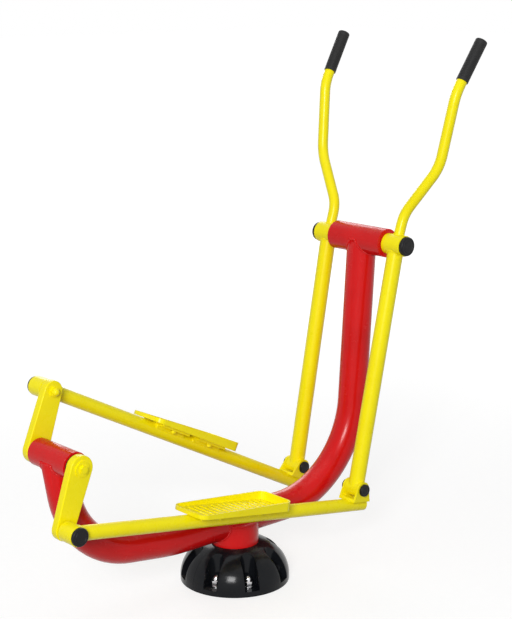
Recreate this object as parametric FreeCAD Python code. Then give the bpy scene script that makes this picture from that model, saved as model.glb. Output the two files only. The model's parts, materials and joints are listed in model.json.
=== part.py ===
import FreeCAD, Part
import math
import os

from FreeCAD import Rotation, Vector

# Outdoor elliptical walker for a park. All sizes are in millimetres.
# X points forwards, to the handles. Y points to the user's left. Z points up.
# The origin lies on the ground at the centre of the round base.
# Each lever and each pedal bar is drawn in a frame of its own and then turned to its place.

# Round base that is bolted to the ground
flange_r = 152.0
flange_t = 14.0
bolt_circle_r = 120.0
bolt_count = 8
bolt_hole_r = 9.0
first_bolt_deg = 22.5
gusset_t = 8.0
gusset_reach = 56.0
gusset_h = 66.0
gusset_toe = 10.0

# Domed cover over the base
cover_gap = 4.0
cover_wall = 4.0
cover_lift = 1.0
cover_skirt_h = 21.0
cover_h = 114.0
dome_arc_r = 106.0
neck_ledge = 6.0
neck_clearance = 0.5
cover_seam = 0.6
pocket_r = 22.0
pocket_floor = 3.0
washer_r = 15.0
washer_t = 3.0
cap_nut_flats = 24.0
cap_nut_hex_h = 15.0
cap_nut_h = 30.0
anchor_thread_r = 8.0
anchor_washer_gap = 0.5
cap_dome_r = 11.0

# Column under the main beam
column_r = 70.0
column_wall = 5.0
column_cap_t = 6.0

# Bent main beam, as corners of its centre line in the plane of symmetry
beam_r = 44.5
beam_wall = 4.0
beam_z = 176.0
rear_foot_x = -566.0
rear_foot_z = 219.0
rear_rise_x = -240.0
front_foot_x = 465.0
rear_bend_r = 245.0
rise_bend_r = 600.0
front_bend_r = 300.0
saddle_wall = 4.0

# Crank axis, and the cranks in the pose that is drawn
crank_x = -614.0
crank_z = 500.0
crank_radius = 163.0
crank_phase_deg = 19.8

# Housing that holds the crank shaft
housing_r = 38.0
housing_bore_r = 29.0
crank_bearing_r = 31.0
crank_bearing_w = 16.0
crank_bearing_set_in = 2.0
crank_ball_r = 4.6
crank_ball_count = 10
shaft_r = 15.0
shaft_core_r = 17.5
seal_clearance = 0.4
seal_lip_l = 2.0
seal_lip_step = 3.0

# Ball bearings
ball_play = 0.3
race_depth = 0.45

# Crank arms and pins
arm_gap = 6.0
arm_t = 24.0
arm_root_r = 35.0
arm_tip_r = 29.0
arm_edge_r = 3.0
arm_spacer_r = 19.0
key_w = 8.0
key_h = 7.0
key_length = 18.0
shaft_set_in = 2.0
end_washer_r = 21.0
end_washer_t = 4.0
end_bolt_r = 6.0
end_bolt_flats = 19.0
end_bolt_head_h = 8.0
end_bolt_depth = 34.0
pin_r = 8.0
pin_collar_r = 14.0
pin_collar_t = 2.0
pin_tail = 2.0
pin_end_gap = 8.0
pin_tail_room = 1.0
pin_nut_flats = 24.0
pin_nut_h = 9.0
pin_dome_r = 10.5

# Top pivot of the two levers
pivot_x = 515.0
pivot_z = 951.0
cross_tube_r = 43.0
cross_tube_wall = 5.0
cross_tube_half = 106.0
end_plate_t = 6.0
axle_r = 12.5
hub_gap = 2.0
hub_r = 31.0
hub_length = 70.0
hub_bore_r = 21.0
hub_bearing_r = 23.5
hub_bearing_w = 12.0
hub_ball_r = 3.2
hub_ball_count = 12
inner_bearing_set_in = 2.0
spacer_wall = 3.5
pivot_washer_r = 20.0
pivot_washer_t = 2.5
pivot_nut_flats = 36.0
pivot_nut_h = 11.0
axle_tail = 1.5
pivot_cap_r = 28.5
pivot_cap_t = 13.0
pivot_cap_edge_r = 5.0
cap_spigot_l = 4.0
cap_spigot_wall = 3.4
cap_nut_clearance = 0.5
cap_fit = 0.1

# Levers
lever_length = 738.0
lever_r = 24.0
lever_wall = 3.0
lower_boss_half = 24.0
lower_bolt_r = 10.0
bush_wall = 3.0
bush_flange_r = 17.0
bush_flange_t = 1.2
bush_side_play = 0.3
bush_gap = 2.0
running_clearance = 0.05

# Handle, as corners of its centre line: forwards, sideways and up from the top pivot
handle_r = 16.0
handle_wall = 2.5
handle_knee_x = 10.0
handle_knee_z = 93.0
handle_elbow_x = 20.0
handle_elbow_y = 97.0
handle_elbow_z = 243.0
handle_wrist_x = 12.0
handle_wrist_y = 119.0
handle_wrist_z = 460.0
handle_tip_x = 74.0
handle_tip_y = 129.0
handle_tip_z = 626.0
knee_bend_r = 100.0
elbow_bend_r = 150.0
wrist_bend_r = 150.0
grip_length = 137.0
grip_wall = 2.5
grip_end_t = 6.0
grip_end_edge_r = 4.0

# Pedal bars
bar_length = 1032.0
bar_r = 20.0
bar_wall = 3.0
bar_overshoot = 36.0
bar_plug_t = 4.0
boss_gap = 4.0
fork_plate_t = 7.0
fork_half_l = 34.0
fork_web_t = 4.0
fork_skirt_h = 5.0
bolt_head_r = 14.0
bolt_head_h = 6.0
lower_nut_flats = 27.0
lower_nut_h = 6.5
lower_bolt_tail = 1.0
lower_cap_wall = 1.5
lower_cap_side_gap = 1.4
lower_cap_end_gap = 0.5
lower_cap_edge_r = 3.0

# Rear bearing housing of a pedal bar. Its bore is open and stands off centre, towards the crank
# shaft, because the pin travels in it by this much when the cranks turn.
rear_housing_r = 27.0
rear_housing_half = 27.0
rear_gap = 2.0
rear_bore_r = 16.5
rear_bore_offset = 7.5
rear_cap_r = 25.0
rear_cap_t = 9.0
rear_cap_edge_r = 3.5
rear_spigot_l = 4.0
rear_spigot_wall = 2.5

# Foot trays
tray_centre = 543.0
tray_length = 336.0
tray_width = 132.0
tray_corner_r = 24.0
tray_floor = 3.5
tray_wall = 3.0
tray_heel_h = 8.0
tray_toe_h = 24.0
tray_rib_w = 4.0
tray_rib_h = 2.5
tray_rib_pitch = 20.5
tray_rib_margin = 20.0
bracket_spread = 150.0
bracket_length = 110.0
bracket_web_t = 2.0
bracket_wing_t = 7.0
bracket_skirt_wall = 3.0
bracket_skirt_h = 14.0
bracket_end_margin = 12.0
tray_bolt_margin = 11.0
tray_bolt_r = 4.0
tray_bolt_head_r = 8.0
tray_bolt_head_h = 3.0
tray_bolt_side_gap = 0.5
tray_bolt_tail = 2.0
tray_nut_flats = 13.0
tray_nut_h = 6.5

# Places that follow from the sizes above
RIGHT, LEFT = -1, 1
SIDE_NAMES = {RIGHT: "right", LEFT: "left"}
ORIGIN = Vector(0, 0, 0)
ALONG_Y = Vector(0, 1, 0)
cover_r = flange_r + cover_gap + cover_wall
neck_r = column_r + neck_ledge
pocket_floor_z = flange_t + pocket_floor
hub_inner_y = cross_tube_half + hub_gap
hub_outer_y = hub_inner_y + hub_length
lever_y = (hub_inner_y + hub_outer_y) / 2
outer_bearing_set_in = pivot_washer_t + pivot_nut_h + cap_nut_clearance + cap_spigot_l
inner_bearing_y = hub_inner_y + inner_bearing_set_in
outer_bearing_y = hub_outer_y - outer_bearing_set_in - hub_bearing_w
pivot_nut_y = outer_bearing_y + hub_bearing_w + pivot_washer_t
rear_inner_y = lever_y - rear_housing_half
rear_outer_y = lever_y + rear_housing_half
arm_outer_y = rear_inner_y - rear_gap - pin_collar_t
arm_inner_y = arm_outer_y - arm_t
housing_half = arm_inner_y - arm_gap
fork_inner = lower_boss_half + bush_flange_t + bush_side_play
fork_outer = fork_inner + fork_plate_t
fork_web_top = bar_r + fork_web_t
pivot_rise = fork_web_top + boss_gap + lever_r
lower_cap_h = lower_nut_h + lower_bolt_tail + lower_cap_end_gap + lower_cap_wall
lower_cap_r = lower_nut_flats / math.sqrt(3) + lower_cap_side_gap + lower_cap_wall
tray_bottom = bar_r + bracket_web_t
tray_floor_z = tray_bottom + tray_floor
wing_bottom = tray_bottom - bracket_wing_t
skirt_y = bar_r + bracket_skirt_wall
tray_bolt_y = skirt_y + tray_bolt_margin
bracket_y = tray_bolt_y + bracket_end_margin


def rod(radius, y_from, y_to, x=0.0, z=0.0):
    """Solid cylinder along Y."""
    return Part.makeCylinder(radius, y_to - y_from, Vector(x, y_from, z), ALONG_Y)


def sleeve(outer, inner, y_from, y_to, x=0.0, z=0.0):
    """Hollow cylinder along Y."""
    return rod(outer, y_from, y_to, x, z).cut(rod(inner, y_from, y_to, x, z))


def disc(radius, z_from, z_to, x=0.0, y=0.0):
    """Solid cylinder along Z."""
    return Part.makeCylinder(radius, z_to - z_from, Vector(x, y, z_from))


def box(x_from, x_to, y_from, y_to, z_from, z_to):
    """Box between two corners."""
    return Part.makeBox(x_to - x_from, y_to - y_from, z_to - z_from, Vector(x_from, y_from, z_from))


def hexagon(flats, start, direction, height):
    """Hexagonal prism that starts at a point and grows along a direction."""
    corner_r = flats / math.sqrt(3)
    corners = []
    for i in range(7):
        angle = math.radians(60 * i)
        corners.append(Vector(corner_r * math.cos(angle), corner_r * math.sin(angle), 0))
    prism = Part.Face(Part.makePolygon(corners)).extrude(Vector(0, 0, height))
    prism.Placement = FreeCAD.Placement(start, Rotation(Vector(0, 0, 1), direction))
    return prism


def both_sides(shape):
    """A piece drawn at the left, with its mirror image at the right."""
    return [shape, mirrored(shape)]


def mirrored(shape):
    """Mirror image across the plane of symmetry."""
    return shape.mirror(ORIGIN, ALONG_Y)


def on_side(shape, side):
    """A piece drawn at the left, brought to one side."""
    return shape if side == LEFT else mirrored(shape)


def turned_to(shape, x, z, tilt_deg):
    """Turns a piece about Y and moves its own origin to a point of the plane of symmetry."""
    placed = shape.copy()
    move = FreeCAD.Placement(Vector(x, 0, z), Rotation(ALONG_Y, tilt_deg))
    placed.Placement = move.multiply(shape.Placement)
    return placed


def rim_at(shape, centre):
    """Round edges whose centre lies at one point."""
    rims = [e for e in shape.Edges if isinstance(e.Curve, Part.Circle)]
    return [e for e in rims if (e.Curve.Center - centre).Length < 1e-3]


def unit(vector):
    """A copy of a vector with length one."""
    return Vector(vector).normalize()


def rounded_path(points, radii):
    """Straight runs joined by tangent arcs, with one radius for each inner corner."""
    edges = []
    start = points[0]
    for i, radius in enumerate(radii, 1):
        corner = points[i]
        back = unit(points[i - 1] - corner)
        ahead = unit(points[i + 1] - corner)
        half = back.getAngle(ahead) / 2
        run = radius / math.tan(half)
        middle = corner + unit(back + ahead) * (radius / math.sin(half) - radius)
        edges.append(Part.makeLine(start, corner + back * run))
        edges.append(Part.Arc(corner + back * run, middle, corner + ahead * run).toShape())
        start = corner + ahead * run
    edges.append(Part.makeLine(start, points[-1]))
    return Part.Wire(edges)


def swept_rod(points, radii, radius):
    """Solid round bar along a rounded path."""
    ring = Part.Wire(Part.makeCircle(radius, points[0], points[1] - points[0]))
    return rounded_path(points, radii).makePipeShell([ring], True, False)


def bent_tube(points, radii, outer, wall, plug_start, plug_end):
    """Round tube along a rounded path, solid for a stretch at each end."""
    inside = list(points)
    inside[0] = points[0] + unit(points[1] - points[0]) * plug_start
    inside[-1] = points[-1] + unit(points[-2] - points[-1]) * plug_end
    return swept_rod(points, radii, outer).cut(swept_rod(inside, radii, outer - wall))


def bearing(y_from, width, bore_r, outer_r, ball_r, ball_count):
    """Ball bearing on the Y axis: inner ring, outer ring and balls."""
    pitch_r = (bore_r + outer_r) / 2
    y_mid = y_from + width / 2
    shoulder = race_depth * ball_r
    groove = Part.makeTorus(pitch_r, ball_r + ball_play, Vector(0, y_mid, 0), ALONG_Y)
    inner = sleeve(pitch_r - shoulder, bore_r, y_from, y_from + width).cut(groove)
    outer = sleeve(outer_r, pitch_r + shoulder, y_from, y_from + width).cut(groove)
    balls = []
    for i in range(ball_count):
        angle = 2 * math.pi * i / ball_count
        centre = Vector(pitch_r * math.cos(angle), y_mid, pitch_r * math.sin(angle))
        balls.append(Part.makeSphere(ball_r, centre))
    return inner, outer, balls


def bolt_angles():
    """Angles of the ground bolts, in degrees."""
    return [first_bolt_deg + 360.0 * i / bolt_count for i in range(bolt_count)]


def around(shape, angles):
    """Copies of a piece turned about the Z axis."""
    copies = []
    for angle in angles:
        copy = shape.copy()
        copy.rotate(ORIGIN, Vector(0, 0, 1), angle)
        copies.append(copy)
    return copies


def base_parts():
    """Flange, gussets, domed cover, and the washers and cap nuts of the ground bolts."""
    hole = disc(bolt_hole_r, 0, pocket_floor_z, bolt_circle_r)
    holes = around(hole, bolt_angles())
    nut_z = pocket_floor_z + washer_t
    washer = disc(washer_r, pocket_floor_z, nut_z, bolt_circle_r)
    bore_r = anchor_thread_r + anchor_washer_gap
    washer = washer.cut(disc(bore_r, pocket_floor_z, nut_z, bolt_circle_r))
    washers = around(washer, bolt_angles())
    nuts = around(cap_nut(nut_z), bolt_angles())
    return {
        "base_flange": disc(flange_r, 0, flange_t).cut(holes),
        "base_gussets": Part.makeCompound(around(gusset(), [0, 90, 180, 270])),
        "base_cover": base_cover(holes),
        "anchor_cap_nuts": Part.makeCompound(washers + nuts),
    }


def gusset():
    """Rib between the flange and the foot of the column."""
    reach_x, top_z = column_r + gusset_reach, flange_t + gusset_h
    outline = [
        Vector(0, 0, flange_t),
        Vector(reach_x, 0, flange_t),
        Vector(reach_x, 0, flange_t + gusset_toe),
        Vector(column_r + gusset_toe, 0, top_z),
        Vector(0, 0, top_z),
        Vector(0, 0, flange_t),
    ]
    plate = Part.Face(Part.makePolygon(outline)).extrude(Vector(0, gusset_t, 0))
    plate.translate(Vector(0, -gusset_t / 2, 0))
    return plate.cut(disc(column_r, flange_t, top_z))


def cap_nut(z_from):
    """Domed nut with a blind thread, on the first ground bolt's radius."""
    place = Vector(bolt_circle_r, 0, z_from)
    body = hexagon(cap_nut_flats, place, Vector(0, 0, 1), cap_nut_hex_h)
    dome_z = z_from + cap_nut_h - cap_dome_r
    neck = disc(cap_dome_r, z_from, dome_z, bolt_circle_r)
    dome = Part.makeSphere(cap_dome_r, Vector(bolt_circle_r, 0, dome_z))
    thread = disc(anchor_thread_r, z_from, dome_z, bolt_circle_r)
    bevel = Part.makeCone(
        cap_nut_flats / 2 + cap_nut_hex_h, cap_nut_flats / 2, cap_nut_hex_h, place
    )
    return body.common(bevel).fuse([neck, dome]).cut(thread).removeSplitter()


def dome_profile(inset):
    """Solid of the cover's outside, or of its inside when inset by the wall."""
    low = Vector(cover_r, 0, cover_skirt_h)
    high = Vector(neck_r, 0, cover_h)
    chord = high - low
    rise = math.sqrt(dome_arc_r**2 - (chord.Length / 2) ** 2)
    centre = (low + high) * 0.5 + unit(Vector(-chord.z, 0, chord.x)) * rise
    arc_r = dome_arc_r - inset
    edge_r = cover_r - inset
    top_z = cover_h - inset
    edge_z = centre.z + math.sqrt(arc_r**2 - (edge_r - centre.x) ** 2)
    if inset == 0:
        edge_z = cover_skirt_h
    top_r = centre.x + math.sqrt(arc_r**2 - (top_z - centre.z) ** 2)
    start = Vector(edge_r, 0, edge_z)
    end = Vector(top_r, 0, top_z)
    middle = centre + unit((start + end) * 0.5 - centre) * arc_r
    bottom_z = cover_lift if inset == 0 else 0.0
    outline = [
        Part.makeLine(Vector(0, 0, bottom_z), Vector(edge_r, 0, bottom_z)),
        Part.makeLine(Vector(edge_r, 0, bottom_z), start),
        Part.Arc(start, middle, end).toShape(),
        Part.makeLine(end, Vector(0, 0, top_z)),
        Part.makeLine(Vector(0, 0, top_z), Vector(0, 0, bottom_z)),
    ]
    return Part.Face(Part.Wire(outline)).revolve(ORIGIN, Vector(0, 0, 1), 360)


def pocket(radius, z_from):
    """Space round a ground bolt that is open towards the rim of the cover."""
    round_end = disc(radius, z_from, cover_h, bolt_circle_r)
    mouth = box(bolt_circle_r, cover_r + 2 * radius, -radius, radius, z_from, cover_h)
    return round_end.fuse(mouth)


def base_cover(holes):
    """Domed shell with a pocket for each ground bolt, resting on the flange at the pocket floors.

    It is two halves, so that it closes round the column under the beam.
    """
    pockets = around(pocket(pocket_r, pocket_floor_z), bolt_angles())
    pocket_walls = around(pocket(pocket_r + cover_wall, flange_t), bolt_angles())
    hollow = dome_profile(cover_wall).cut(pocket_walls)
    neck = disc(column_r + neck_clearance, 0, cover_h)
    cover = dome_profile(0).cut(pockets).cut(hollow).cut(neck).cut(holes)
    other_side = box(-cover_r, cover_r, -cover_r, cover_seam / 2, 0, cover_h)
    return Part.makeCompound(both_sides(cover.cut(other_side)))


def column_parts():
    """Column, cut to fit under the beam, and the two plates that close its top beside the beam."""
    beam_run = Part.makeCylinder(
        beam_r, 4 * column_r, Vector(-2 * column_r, 0, beam_z), Vector(1, 0, 0)
    )
    column = disc(column_r, flange_t, beam_z).cut(disc(column_r - column_wall, flange_t, beam_z))
    plates = disc(column_r, beam_z, beam_z + column_cap_t).cut(beam_run)
    return {"column": column.cut(beam_run), "column_cap_plates": plates}


def main_beam():
    """Bent tube from the crank housing, down, over the column and up to the cross tube."""
    points = [
        Vector(crank_x, 0, crank_z),
        Vector(rear_foot_x, 0, rear_foot_z),
        Vector(rear_rise_x, 0, beam_z),
        Vector(front_foot_x, 0, beam_z),
        Vector(pivot_x, 0, pivot_z),
    ]
    radii = [rear_bend_r, rise_bend_r, front_bend_r]
    tube = bent_tube(
        points, radii, beam_r, beam_wall, housing_r + saddle_wall, cross_tube_r + saddle_wall
    )
    housing = rod(housing_r, -beam_r, beam_r, crank_x, crank_z)
    cross = rod(cross_tube_r, -beam_r, beam_r, pivot_x, pivot_z)
    return tube.cut([housing, cross])


def crank_housing_parts():
    """Housing tube, its two ball bearings and its two dust seals."""
    seat_from = housing_half - crank_bearing_set_in - crank_bearing_w
    ring_from = housing_half - crank_bearing_set_in
    tube = sleeve(housing_r, housing_bore_r, -housing_half, housing_half)
    tube = tube.cut(both_sides(rod(crank_bearing_r, seat_from, housing_half)))
    inner, outer, balls = bearing(
        seat_from, crank_bearing_w, shaft_r, crank_bearing_r, crank_ball_r, crank_ball_count
    )
    seal = sleeve(crank_bearing_r, arm_spacer_r + seal_clearance, ring_from, housing_half)
    lip_r = crank_bearing_r - seal_lip_step
    lip_end = housing_half + seal_lip_l
    lip = sleeve(lip_r, arm_spacer_r + seal_clearance, housing_half, lip_end)
    seals = both_sides(seal.fuse(lip).removeSplitter())
    fixed = [outer, mirrored(outer)]
    for ball in balls:
        fixed += both_sides(ball)
    groups = {
        "crank_housing": tube,
        "crank_bearings": Part.makeCompound(fixed),
        "crank_seals": Part.makeCompound(seals),
        "crank_inner_rings": Part.makeCompound(both_sides(inner)),
    }
    return {name: turned_to(shape, crank_x, crank_z, 0) for name, shape in groups.items()}


def arm_plate():
    """Flat crank arm with round ends, wide at the shaft and narrower at the pin."""
    lean = math.asin((arm_root_r - arm_tip_r) / crank_radius)
    root = Vector(arm_root_r * math.cos(lean), 0, arm_root_r * math.sin(lean))
    tip = Vector(arm_tip_r * math.cos(lean), 0, crank_radius + arm_tip_r * math.sin(lean))
    outline = [
        Part.makeLine(root, tip),
        Part.Arc(tip, Vector(0, 0, crank_radius + arm_tip_r), Vector(-tip.x, 0, tip.z)).toShape(),
        Part.makeLine(Vector(-tip.x, 0, tip.z), Vector(-root.x, 0, root.z)),
        Part.Arc(Vector(-root.x, 0, root.z), Vector(0, 0, -arm_root_r), root).toShape(),
    ]
    plate = Part.Face(Part.Wire(outline)).extrude(Vector(0, arm_t, 0))
    plate.translate(Vector(0, arm_inner_y, 0))
    faces_y = (arm_inner_y, arm_outer_y)
    rims = [e for e in plate.Edges if any(lies_at_y(e, y) for y in faces_y)]
    return plate.makeFillet(arm_edge_r, rims)


def lies_at_y(edge, y):
    """Whether a whole edge lies in one plane across Y."""
    return all(abs(v.Y - y) < 1e-6 for v in edge.Vertexes)


def opposite(shape):
    """A piece of the left crank on the right, where the crank points the other way."""
    turned = mirrored(shape)
    turned.rotate(ORIGIN, ALONG_Y, 180)
    return turned


def crank_shaft(shaft_end, key):
    """Shaft with a thick middle, a keyway and a threaded hole at each end."""
    core_half = housing_half - crank_bearing_set_in - crank_bearing_w
    shaft = rod(shaft_r, -shaft_end, shaft_end).fuse(rod(shaft_core_r, -core_half, core_half))
    shaft = shaft.cut([key, opposite(key)])
    holes = both_sides(rod(end_bolt_r, shaft_end - end_bolt_depth, shaft_end))
    return shaft.cut(holes).removeSplitter()


def crank_pin():
    """Pin in the outer end of the left arm, with a collar, and the domed nut that holds it."""
    collar_to = arm_outer_y + pin_collar_t
    tail_y = arm_inner_y - pin_nut_h - pin_tail
    pin = rod(pin_r, tail_y, rear_outer_y - pin_end_gap, 0, crank_radius)
    pin = pin.fuse(rod(pin_collar_r, arm_outer_y, collar_to, 0, crank_radius)).removeSplitter()
    inward = Vector(0, -1, 0)
    nut = hexagon(pin_nut_flats, Vector(0, arm_inner_y, crank_radius), inward, pin_nut_h)
    dome_place = Vector(0, arm_inner_y - pin_nut_h, crank_radius)
    dome = Part.makeSphere(pin_dome_r, dome_place, inward, 0, 90, 360)
    thread = rod(pin_r, tail_y - pin_tail_room, arm_inner_y, 0, crank_radius)
    return pin, nut.fuse(dome).cut(thread).removeSplitter()


def crank_end_bolt(shaft_end):
    """Bolt and washer that hold an arm on the shaft."""
    head_y = arm_outer_y + end_washer_t
    bolt = rod(end_bolt_r, shaft_end - end_bolt_depth, head_y)
    head = hexagon(end_bolt_flats, Vector(0, head_y, 0), ALONG_Y, end_bolt_head_h)
    return bolt.fuse(head), sleeve(end_washer_r, end_bolt_r, arm_outer_y, head_y)


def crank_parts():
    """Shaft, keyed arms, pins and their fasteners, drawn with the left arm straight up."""
    shaft_end = arm_outer_y - shaft_set_in
    key_y = shaft_end - key_length
    key = box(-key_w / 2, key_w / 2, key_y, shaft_end, shaft_r - key_h / 2, shaft_r + key_h / 2)
    spacer_from = housing_half - crank_bearing_set_in
    spacer = sleeve(arm_spacer_r, shaft_r, spacer_from, arm_inner_y)
    pin, pin_nut = crank_pin()
    arm = arm_plate().cut([rod(shaft_r, arm_inner_y, arm_outer_y), key, pin])
    bolt, washer = crank_end_bolt(shaft_end)
    groups = {
        "crank_shaft": crank_shaft(shaft_end, key),
        "crank_keys": Part.makeCompound([key, opposite(key)]),
        "crank_spacers": Part.makeCompound(both_sides(spacer)),
        "left_crank_arm": arm,
        "right_crank_arm": opposite(arm),
        "crank_pins": Part.makeCompound([pin, opposite(pin)]),
        "crank_fasteners": Part.makeCompound(
            both_sides(bolt) + both_sides(washer) + [pin_nut, opposite(pin_nut)]
        ),
    }
    return {
        name: turned_to(shape, crank_x, crank_z, crank_phase_deg)
        for name, shape in groups.items()
    }


def top_pivot_parts():
    """Cross tube, its end plates, the axle through it and what clamps the hub bearings."""
    plate_r = cross_tube_r - cross_tube_wall
    tube = sleeve(cross_tube_r, plate_r, -cross_tube_half, cross_tube_half)
    plate = sleeve(plate_r, axle_r, cross_tube_half - end_plate_t, cross_tube_half)
    axle_end = pivot_nut_y + pivot_nut_h + axle_tail
    spacer_r = axle_r + spacer_wall
    short_spacer = sleeve(spacer_r, axle_r, cross_tube_half, inner_bearing_y)
    long_spacer = sleeve(spacer_r, axle_r, inner_bearing_y + hub_bearing_w, outer_bearing_y)
    inner_near, _, _ = hub_bearing(inner_bearing_y)
    inner_far, _, _ = hub_bearing(outer_bearing_y)
    washer = sleeve(pivot_washer_r, axle_r, pivot_nut_y - pivot_washer_t, pivot_nut_y)
    nut = hexagon(pivot_nut_flats, Vector(0, pivot_nut_y, 0), ALONG_Y, pivot_nut_h)
    nut = nut.cut(rod(axle_r, 0, axle_end))
    groups = {
        "top_cross_tube": tube,
        "cross_tube_end_plates": Part.makeCompound(both_sides(plate)),
        "pivot_axle": rod(axle_r, -axle_end, axle_end),
        "pivot_spacers": Part.makeCompound(both_sides(short_spacer) + both_sides(long_spacer)),
        "pivot_inner_rings": Part.makeCompound(both_sides(inner_near) + both_sides(inner_far)),
        "pivot_nuts": Part.makeCompound(both_sides(nut) + both_sides(washer)),
    }
    return {name: turned_to(shape, pivot_x, pivot_z, 0) for name, shape in groups.items()}


def hub_bearing(y_from):
    """One of the two bearings in a lever's hub."""
    return bearing(y_from, hub_bearing_w, axle_r, hub_bearing_r, hub_ball_r, hub_ball_count)


def lever_hub():
    """Hub at the top of a lever, bored for two bearings."""
    hub = sleeve(hub_r, hub_bore_r, hub_inner_y, hub_outer_y)
    inner_seat = rod(hub_bearing_r, hub_inner_y, inner_bearing_y + hub_bearing_w)
    outer_seat = rod(hub_bearing_r, outer_bearing_y, hub_outer_y)
    return hub.cut([inner_seat, outer_seat])


def pivot_cap():
    """Black cap that closes a hub and hides the axle nut."""
    spigot_r = hub_bearing_r - cap_fit
    cap_to = hub_outer_y + pivot_cap_t
    cap = rod(pivot_cap_r, hub_outer_y, cap_to)
    cap = cap.makeFillet(pivot_cap_edge_r, rim_at(cap, Vector(0, cap_to, 0)))
    spigot = sleeve(
        spigot_r, spigot_r - cap_spigot_wall, hub_outer_y - cap_spigot_l, hub_outer_y
    )
    return cap.fuse(spigot).removeSplitter()


def straight_lever():
    """Straight tube from the hub down to the lower boss, closed at its lower end."""
    bore_from = -lever_length + lever_r + lever_wall
    tube = disc(lever_r, -lever_length, 0, 0, lever_y)
    bore = disc(lever_r - lever_wall, bore_from, 0, 0, lever_y)
    hub = rod(hub_r, 0, 2 * lever_y)
    boss = rod(lever_r, 0, 2 * lever_y, 0, -lever_length)
    return tube.cut([bore, hub, boss])


def handle_points():
    """Corners of the handle's centre line, and the unit vector of its last run."""
    start = Vector(0, lever_y, 0)
    knee = start + Vector(handle_knee_x, 0, handle_knee_z)
    elbow = start + Vector(handle_elbow_x, handle_elbow_y, handle_elbow_z)
    wrist = start + Vector(handle_wrist_x, handle_wrist_y, handle_wrist_z)
    tip = start + Vector(handle_tip_x, handle_tip_y, handle_tip_z)
    last = unit(tip - wrist)
    return [start, knee, elbow, wrist, tip - last * grip_end_t], last


def handle_tube():
    """Bent tube from the hub to the grip."""
    points, _ = handle_points()
    radii = [knee_bend_r, elbow_bend_r, wrist_bend_r]
    tube = bent_tube(points, radii, handle_r, handle_wall, hub_r, handle_wall)
    return tube.cut(rod(hub_r, 0, 2 * lever_y))


def handle_grip():
    """Rubber sleeve over the end of the handle tube, closed at the tip."""
    points, last = handle_points()
    tip = points[-1] + last * grip_end_t
    root = tip - last * grip_length
    grip = Part.makeCylinder(handle_r + grip_wall, grip_length, root, last)
    grip = grip.makeFillet(grip_end_edge_r, rim_at(grip, tip))
    return grip.cut(Part.makeCylinder(handle_r, grip_length - grip_end_t, root, last))


def lower_boss():
    """Cross sleeve at the bottom of a lever."""
    bore = lower_bolt_r + running_clearance + bush_wall
    y_from, y_to = lever_y - lower_boss_half, lever_y + lower_boss_half
    return sleeve(lever_r, bore, y_from, y_to, 0, -lever_length)


def lower_bushes():
    """Two flanged plain bushes in the lower boss."""
    inner = lower_bolt_r + running_clearance
    shell = inner + bush_wall
    end = lever_y + lower_boss_half
    body = sleeve(shell, inner, lever_y + bush_gap / 2, end, 0, -lever_length)
    flange = sleeve(bush_flange_r, inner, end, end + bush_flange_t, 0, -lever_length)
    bush = body.fuse(flange).removeSplitter()
    other = bush.mirror(Vector(0, lever_y, 0), ALONG_Y)
    return Part.makeCompound([bush, other])


def lever_parts(side):
    """All pieces of one lever, in the lever's own frame."""
    _, near_outer, near_balls = hub_bearing(inner_bearing_y)
    _, far_outer, far_balls = hub_bearing(outer_bearing_y)
    bearings = Part.makeCompound([near_outer, far_outer] + near_balls + far_balls)
    pieces = {
        "lever_tube": straight_lever(),
        "lever_hub": lever_hub(),
        "hub_bearings": bearings,
        "pivot_cap": pivot_cap(),
        "handle_tube": handle_tube(),
        "handle_grip": handle_grip(),
        "lower_boss": lower_boss(),
        "lower_bushes": lower_bushes(),
    }
    return {SIDE_NAMES[side] + "_" + n: on_side(s, side) for n, s in pieces.items()}


def pedal_bar_tube():
    """Straight tube from the rear housing to a little past the lower pivot."""
    length = bar_length + bar_overshoot
    start = Vector(0, lever_y, 0)
    tube = Part.makeCylinder(bar_r, length, start, Vector(1, 0, 0))
    bore = Part.makeCylinder(bar_r - bar_wall, length, start, Vector(1, 0, 0))
    return tube.cut([bore, rod(rear_housing_r, 0, 2 * lever_y)])


def bar_plug():
    """Disc that closes the front end of a pedal bar."""
    place = Vector(bar_length + bar_overshoot, lever_y, 0)
    back = Vector(place.x - bar_plug_t, place.y, 0)
    lip = Part.makeCylinder(bar_r, bar_plug_t / 2, place, Vector(1, 0, 0))
    return lip.fuse(
        Part.makeCylinder(bar_r - bar_wall, bar_plug_t, back, Vector(1, 0, 0))
    ).removeSplitter()


def rear_housing(side):
    """Bearing housing at the rear end of a pedal bar, with its open bore."""
    drift = -side * rear_bore_offset
    body = rod(rear_housing_r, rear_inner_y, rear_outer_y)
    return body.cut(rod(rear_bore_r, rear_inner_y, rear_outer_y, 0, drift))


def rear_cap(side):
    """Black cap that closes the outer end of a rear housing."""
    drift = -side * rear_bore_offset
    cap = rod(rear_cap_r, rear_outer_y, rear_outer_y + rear_cap_t)
    face = Vector(0, rear_outer_y + rear_cap_t, 0)
    cap = cap.makeFillet(rear_cap_edge_r, rim_at(cap, face))
    outer = rear_bore_r - cap_fit
    spigot = sleeve(
        outer, outer - rear_spigot_wall, rear_outer_y - rear_spigot_l, rear_outer_y, 0, drift
    )
    return cap.fuse(spigot).removeSplitter()


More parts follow.
